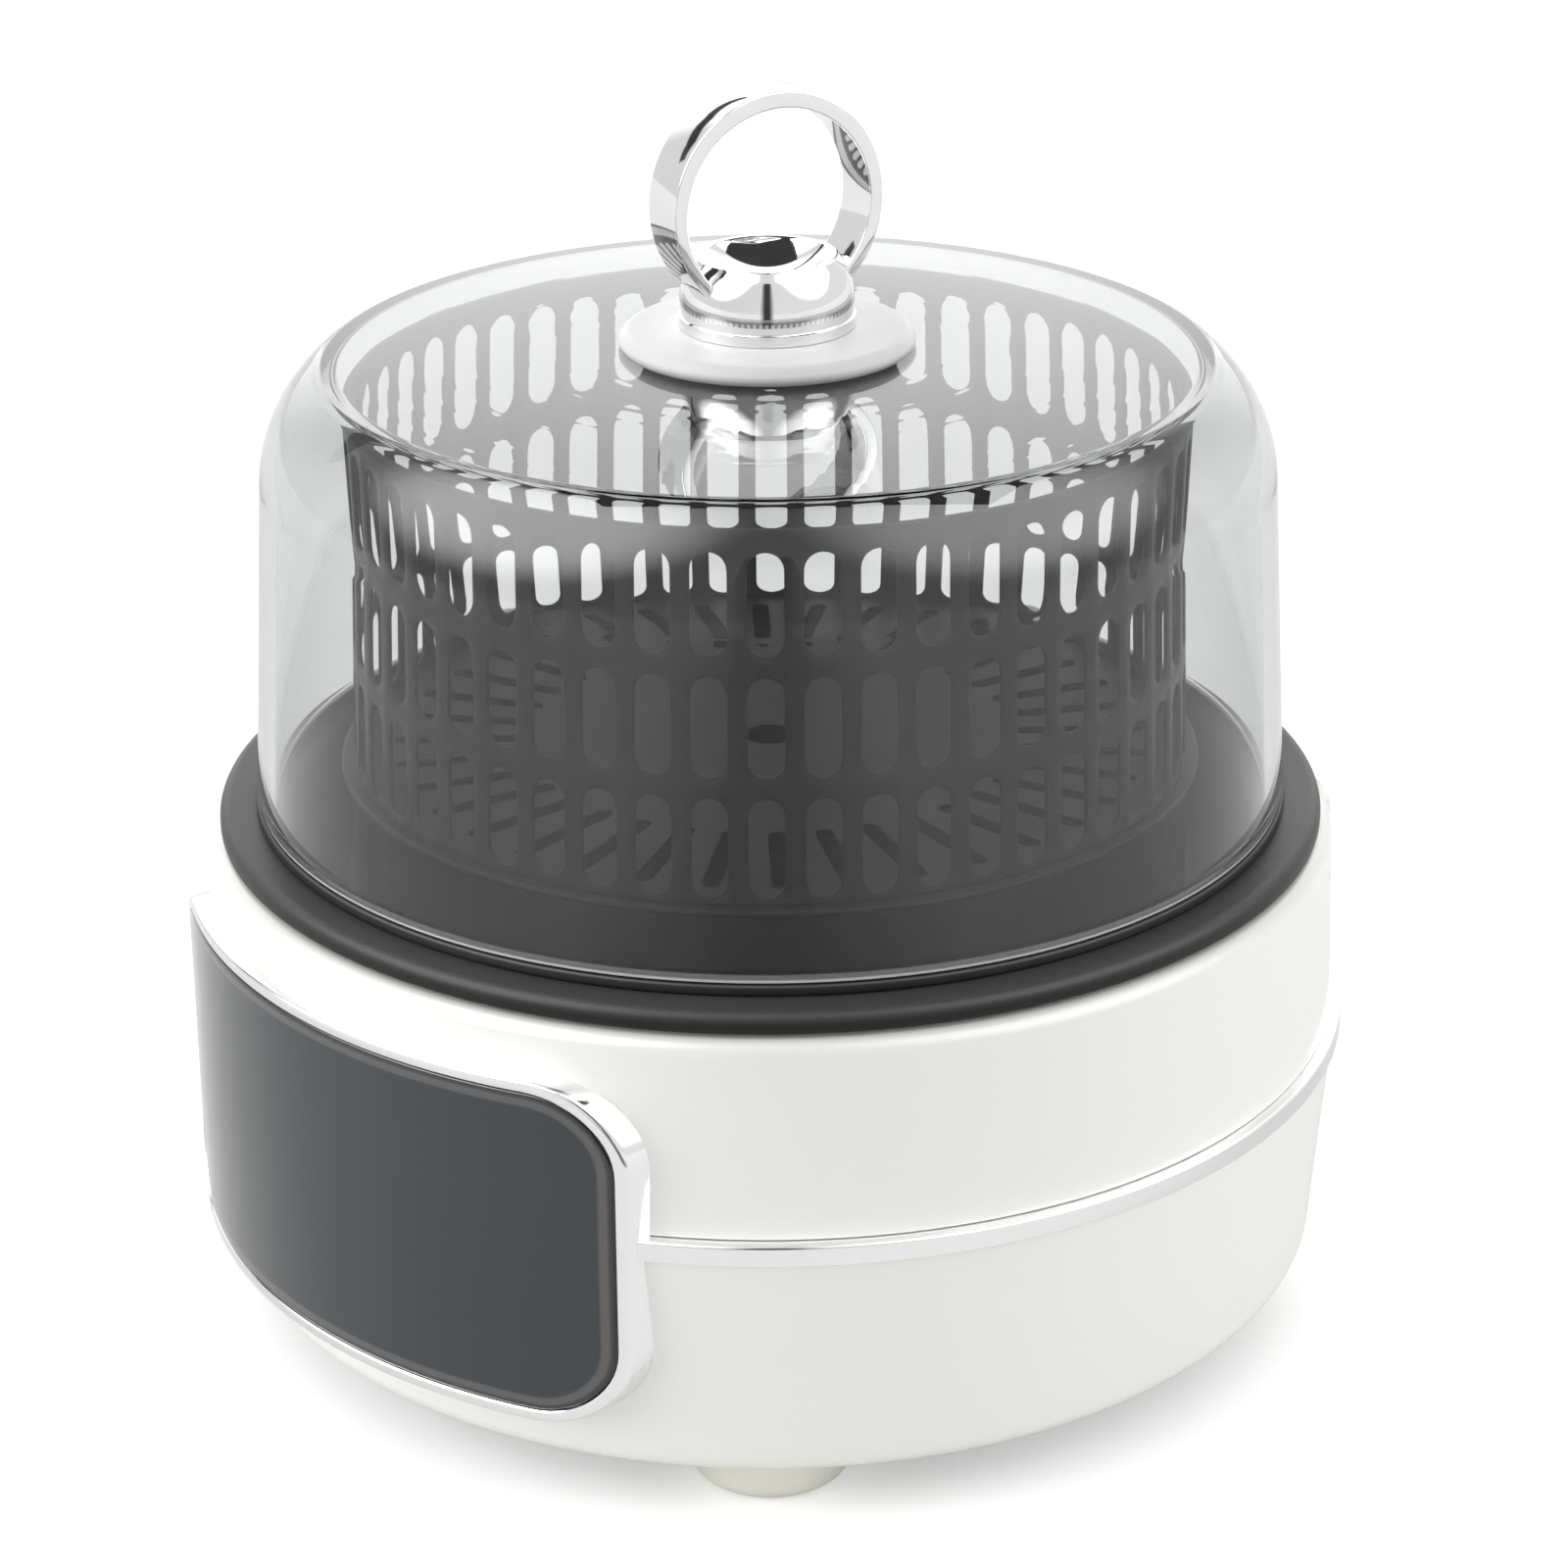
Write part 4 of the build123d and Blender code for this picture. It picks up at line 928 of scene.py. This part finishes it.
def panel_piece(name, section):
    """A piece that follows the panel's outline. The section is a list of (inset, radius)."""
    vertices, rows, faces = [], [], []
    for inset, radius in section:
        rows.append(new_row(vertices, [
            (across, -math.sqrt(radius * radius - across * across), PANEL_MIDDLE + up)
            for across, up in panel_outline(inset)
        ]))
    stitch(faces, rows)
    return shade(new_object(name, vertices, faces), 40)


def bezel_section():
    """The frame's outer side, its rounded face and the seat of the glass."""
    reach, inner = PANEL_REACH, BEZEL_WIDTH
    section = [(0.0, reach - 9.6), (0.0, reach - 5.6), (0.0, reach - 0.9)]
    section += [(0.08, reach - 0.55), (0.27, reach - 0.26), (0.55, reach - 0.07), (0.9, reach)]
    section += [(inner - 0.9, reach), (inner - 0.5, reach - 0.06), (inner - 0.2, reach - 0.2)]
    section += [(inner - 0.05, reach - 0.45), (inner, reach - 0.8), (inner, PANEL_SEAT)]
    section += [(inner + 4.0, PANEL_SEAT), (inner + 4.0, PANEL_SEAT - 4.9)]
    return section


def glass_section():
    """The glass, with a softened edge, from its back to the middle of its face."""
    edge = BEZEL_WIDTH + 0.1
    back = PANEL_SEAT + 0.1
    face = PANEL_REACH - 0.3
    start = edge + 0.7
    section = [(start, back), (edge + 0.05, back), (edge, face - 0.7)]
    section += [(edge + 0.08, face - 0.35), (edge + 0.3, face - 0.1), (start, face)]
    steps = 22
    for step in range(1, steps + 1):
        section.append((start + (PANEL_HALF_HEIGHT - start) * step / steps, face))
    return section


# Housing


def make_band():
    """The band's two lengths, from the bezel's sides round to the rear housing."""
    inner = BAND_RADIUS - 5.5
    low, high = Z_BAND + 0.25, Z_UPPER - 0.25
    gap = 0.02
    outline = rounded([
        (inner, low),
        (BAND_RADIUS, low, 0.6),
        (BAND_RADIUS, high, 0.6),
        (inner, high),
    ], 5)
    vertices, faces = [], []
    steps = 160
    for side in (-1, 1):
        rows = []
        for step in range(steps + 1):
            section = []
            for radius, height in outline:
                start = math.asin((PANEL_HALF_WIDTH + gap) / radius)
                end = math.pi - math.asin((REAR_HALF_WIDTH + gap) / radius)
                turn = start + (end - start) * step / steps
                section.append(polar(radius, side * turn, height))
            rows.append(new_row(vertices, section))
        tube(faces, rows)
    return shade(new_object("band", vertices, faces), 40)


def lower_shell_outline():
    cover_edge, flange_edge = 124.0, 117.0
    z_floor = Z_COVER + 2.5
    z_inside = Z_COVER + 4.9
    return rounded([
        (cover_edge, Z_COVER),
        (LOWER_FOOT_RADIUS, Z_COVER, 7.0),
        (LOWER_INLET_RADIUS, Z_INLET_LOW),
        (LOWER_TOP_RADIUS, Z_BAND, 0.35),
        (LOWER_TOP_RADIUS - SHELL_WALL, Z_BAND),
        (LOWER_INLET_RADIUS - SHELL_WALL, Z_INLET_LOW),
        (LOWER_FOOT_RADIUS - SHELL_WALL, z_inside, 7.0 - SHELL_WALL),
        (flange_edge, z_inside),
        (flange_edge, z_floor),
        (cover_edge, z_floor),
    ], 8)


def upper_shell_outline():
    """The upper shell with the deck and the seat under the pan's rim."""
    seat_outside, seat_inside = 127.2, 119.9
    tongue_outside, tongue_inside = 131.2, 129.8
    z_under_deck = Z_DECK - 3.0
    z_tongue_top, z_tongue_end = 79.0, Z_BAND - 6.0
    return rounded([
        (UPPER_FOOT_RADIUS, Z_UPPER, 0.35),
        (UPPER_INLET_RADIUS, Z_INLET_HIGH),
        (UPPER_TOP_RADIUS, Z_DECK, 4.0),
        (seat_outside, Z_DECK, 0.6),
        (seat_outside, Z_SEAT, 0.5),
        (seat_inside, Z_SEAT, 0.5),
        (seat_inside, z_under_deck),
        (UPPER_TOP_RADIUS - SHELL_WALL, z_under_deck, 1.2),
        (tongue_outside + 0.2, Z_INLET_HIGH),
        (tongue_outside + 0.3, z_tongue_top + 1.5),
        (tongue_inside, z_tongue_top),
        (tongue_inside, z_tongue_end),
        (tongue_outside, z_tongue_end),
        (tongue_outside, Z_UPPER),
    ], 8)


def foot_outline():
    """A foot with a screw's recess in its underside."""
    bore, recess, sole, top = 1.9, 4.8, 17.8, 20.0
    z_recess = 6.0
    return rounded([
        (bore, z_recess),
        (recess, z_recess, 0.3),
        (recess, 0.0, 0.5),
        (sole, 0.0, 3.5),
        (top, Z_COVER),
        (bore, Z_COVER),
    ], 8)


FOOT_BEARINGS = {
    "foot_front_left": -48.0,
    "foot_front_right": 48.0,
    "foot_rear_right": 132.0,
    "foot_rear_left": 228.0,
}

for foot_name, bearing in FOOT_BEARINGS.items():
    foot_spot = polar(FOOT_CIRCLE_RADIUS, math.radians(bearing), 0.0)
    foot_piece = lathe(foot_name + "_tip", foot_outline(), 96, spot=foot_spot)
    place(foot_piece, "base", foot_name)
lower_piece = lathe("lower_housing", lower_shell_outline(), 288, window=INLET_WINDOW)
upper_piece = lathe("upper_housing", upper_shell_outline(), 288, window=INLET_WINDOW)
place(lower_piece, "base", "lower_shell")
place(upper_piece, "base", "upper_shell")
place(make_band(), "base", "chrome_band")
place(panel_piece("bezel", bezel_section()), "base", "panel_bezel")
place(panel_piece("glass_face", glass_section()), "base", "panel_glass")


# Studio


def from_camera(across, toward, up):
    """A point given to the camera's right, towards the camera and up, in metres."""
    angle = math.radians(CAMERA_BEARING)
    ahead = Vector((math.sin(angle), -math.cos(angle), 0))
    right = Vector((math.cos(angle), math.sin(angle), 0))
    return right * across + ahead * toward + Vector((0, 0, up))


def background_rays(tree):
    """1 for the rays that show the background: straight on and through glass."""
    path = tree.nodes.new("ShaderNodeLightPath")
    return calc(
        tree, "MAXIMUM", path.outputs["Is Camera Ray"], path.outputs["Is Transmission Ray"]
    )


def studio_levels(tree, direction):
    """Brightness of the studio by direction: as shiny surfaces show it, and as it lights."""
    ahead = tuple(from_camera(0, 1, 0))
    right = tuple(from_camera(1, 0, 0))

    def eased(axis, start, end, low, high):
        return ramp(tree, along(tree, direction, axis), start, end, low, high, "SMOOTHSTEP")

    def lobe(across, toward, up, level, rim=0.86, core=0.98):
        axis = tuple(from_camera(across, toward, up).normalized())
        return eased(axis, rim, core, 0.0, level)

    shown = eased(right, -0.9, 0.9, 0.8, 0.88)
    for part in (
        lobe(0.0, -0.92, 0.39, 1.3, 0.72, 0.94),
        lobe(-0.66, 0.2, 0.72, 7.5, 0.76, 0.98),
        lobe(0.66, 0.2, 0.72, 4.5, 0.76, 0.98),
    ):
        shown = calc(tree, "ADD", shown, part)
    cast = eased((0.0, 0.0, 1.0), 0.0, 0.8, 0.9, 0.8)
    for part in (
        eased(ahead, 0.2, 0.95, 0.0, -0.2),
        eased(ahead, -0.2, -0.95, 0.0, -0.25),
        lobe(-1.3, 0.1, 0.4, 4.0),
        lobe(1.3, 0.0, 0.4, 2.0),
        lobe(0.3, -1.6, 0.65, 0.3),
    ):
        cast = calc(tree, "ADD", cast, part)
    return shown, cast


def make_world():
    """White where the background shows, and the studio's levels in every other ray."""
    world = bpy.data.worlds.new("studio")
    bpy.context.scene.world = world
    world.use_nodes = True
    tree = world.node_tree
    tree.nodes.clear()
    output = tree.nodes.new("ShaderNodeOutputWorld")
    coordinates = tree.nodes.new("ShaderNodeTexCoord").outputs["Generated"]
    shown, cast = studio_levels(tree, coordinates)
    white = (1.0, 1.0, 1.0, 1.0)
    seen = add(tree, "ShaderNodeBackground", Color=white, Strength=1.0)
    lighting = add(tree, "ShaderNodeBackground", Color=white)
    shiny = add(tree, "ShaderNodeBackground", Color=white)
    link(tree, shown, shiny.inputs["Strength"])
    link(tree, cast, lighting.inputs["Strength"])
    glossy = tree.nodes.new("ShaderNodeLightPath").outputs["Is Glossy Ray"]
    shader = lighting.outputs[0]
    for chooser, other in ((glossy, shiny), (background_rays(tree), seen)):
        mixer = tree.nodes.new("ShaderNodeMixShader")
        link(tree, chooser, mixer.inputs["Fac"])
        link(tree, shader, mixer.inputs[1])
        link(tree, other.outputs[0], mixer.inputs[2])
        shader = mixer.outputs[0]
    link(tree, shader, output.inputs["Surface"])


def make_floor():
    """A white floor that glows a little for the rays that show the background."""
    half_width = 6.0
    mesh = bpy.data.meshes.new("floor")
    corners = [(-1, -1, 0), (1, -1, 0), (1, 1, 0), (-1, 1, 0)]
    mesh.from_pydata([Vector(corner) * half_width for corner in corners], [], [(0, 1, 2, 3)])
    floor = bpy.data.objects.new("floor", mesh)
    bpy.context.scene.collection.objects.link(floor)
    material, tree, shader, coordinates = blank("floor_white")
    white = mix(tree, noise(tree, coordinates, 3.0), (0.9, 0.9, 0.9), (0.91, 0.91, 0.91))
    link(tree, white, shader.inputs["Base Color"])
    shader.inputs["Roughness"].default_value = 0.8
    shader.inputs["Specular IOR Level"].default_value = 0.1
    shader.inputs["Emission Color"].default_value = (1.0, 1.0, 1.0, 1.0)
    lift = ramp(tree, background_rays(tree), 0.0, 1.0, 0.0, 0.32)
    link(tree, lift, shader.inputs["Emission Strength"])
    mesh.materials.append(material)


def card(name, corners, shade_of_grey, soft=None):
    """A dark studio card that only shows in shiny surfaces. Corners are as in from_camera.
    With soft, it fades out between two distances from the camera's upright plane."""
    mesh = bpy.data.meshes.new(name)
    points = [from_camera(*corner) for corner in corners]
    mesh.from_pydata(points, [], [tuple(range(len(corners)))])
    item = bpy.data.objects.new(name, mesh)
    bpy.context.scene.collection.objects.link(item)
    material, tree, shader, coordinates = blank(name)
    low = (shade_of_grey,) * 3
    high = (shade_of_grey * 1.3,) * 3
    link(tree, mix(tree, noise(tree, coordinates, 5.0), low, high), shader.inputs["Base Color"])
    shader.inputs["Roughness"].default_value = 0.9
    if soft:
        across = along(tree, coordinates, from_camera(1.0, 0.0, 0.0))
        fade = ramp(tree, calc(tree, "ABSOLUTE", across), *soft, 0.0, 1.0)
        clear = tree.nodes.new("ShaderNodeBsdfTransparent")
        mixer = tree.nodes.new("ShaderNodeMixShader")
        link(tree, fade, mixer.inputs["Fac"])
        link(tree, shader.outputs[0], mixer.inputs[1])
        link(tree, clear.outputs[0], mixer.inputs[2])
        link(tree, mixer.outputs[0], tree.nodes["Material Output"].inputs["Surface"])
    mesh.materials.append(material)
    item.visible_camera = False
    item.visible_diffuse = False
    item.visible_shadow = False
    item.visible_transmission = False


def make_camera():
    data = bpy.data.cameras.new("camera")
    data.sensor_width = 36.0
    data.lens = 97.17
    data.shift_x = 0.0088
    data.clip_start = 0.05
    camera = bpy.data.objects.new("camera", data)
    bpy.context.scene.collection.objects.link(camera)
    rise = math.radians(CAMERA_RISE)
    away = from_camera(0, math.cos(rise), math.sin(rise))
    camera.location = Vector((0, 0, CAMERA_TARGET)) + away * CAMERA_REACH
    turn = (-away).to_track_quat("-Z", "Y").to_matrix().to_4x4()
    roll = Matrix.Rotation(math.radians(CAMERA_ROLL), 4, "Z")
    camera.matrix_world = Matrix.Translation(camera.location) @ turn @ roll
    bpy.context.scene.camera = camera


make_floor()
make_world()
card(
    "card_front",
    [(-0.22, 1.2, 0.0), (0.22, 1.2, 0.0), (0.12, 1.2, 1.4), (-0.12, 1.2, 1.4)],
    0.03,
    (0.07, 0.2),
)
card(
    "card_floor",
    [(-0.3, 0.4, 0.001), (0.3, 0.4, 0.001), (0.4, 1.2, 0.001), (-0.4, 1.2, 0.001)],
    0.06,
    (0.05, 0.32),
)
card(
    "card_top",
    [(-0.24, -0.34, 0.72), (0.36, -0.34, 0.72), (0.36, 0.13, 0.72), (-0.24, 0.13, 0.72)],
    0.03,
)
card(
    "card_left",
    [
        (-0.98, -0.58, 0.54),
        (-0.82, -0.62, 0.68),
        (-0.6, -0.8, 0.85),
        (-0.2, -0.97, 0.88),
        (-0.2, -0.97, 0.93),
        (-0.62, -0.82, 0.98),
        (-0.86, -0.62, 0.82),
        (-1.02, -0.58, 0.64),
    ],
    0.02,
)
make_camera()
bpy.context.scene.view_settings.view_transform = "Standard"
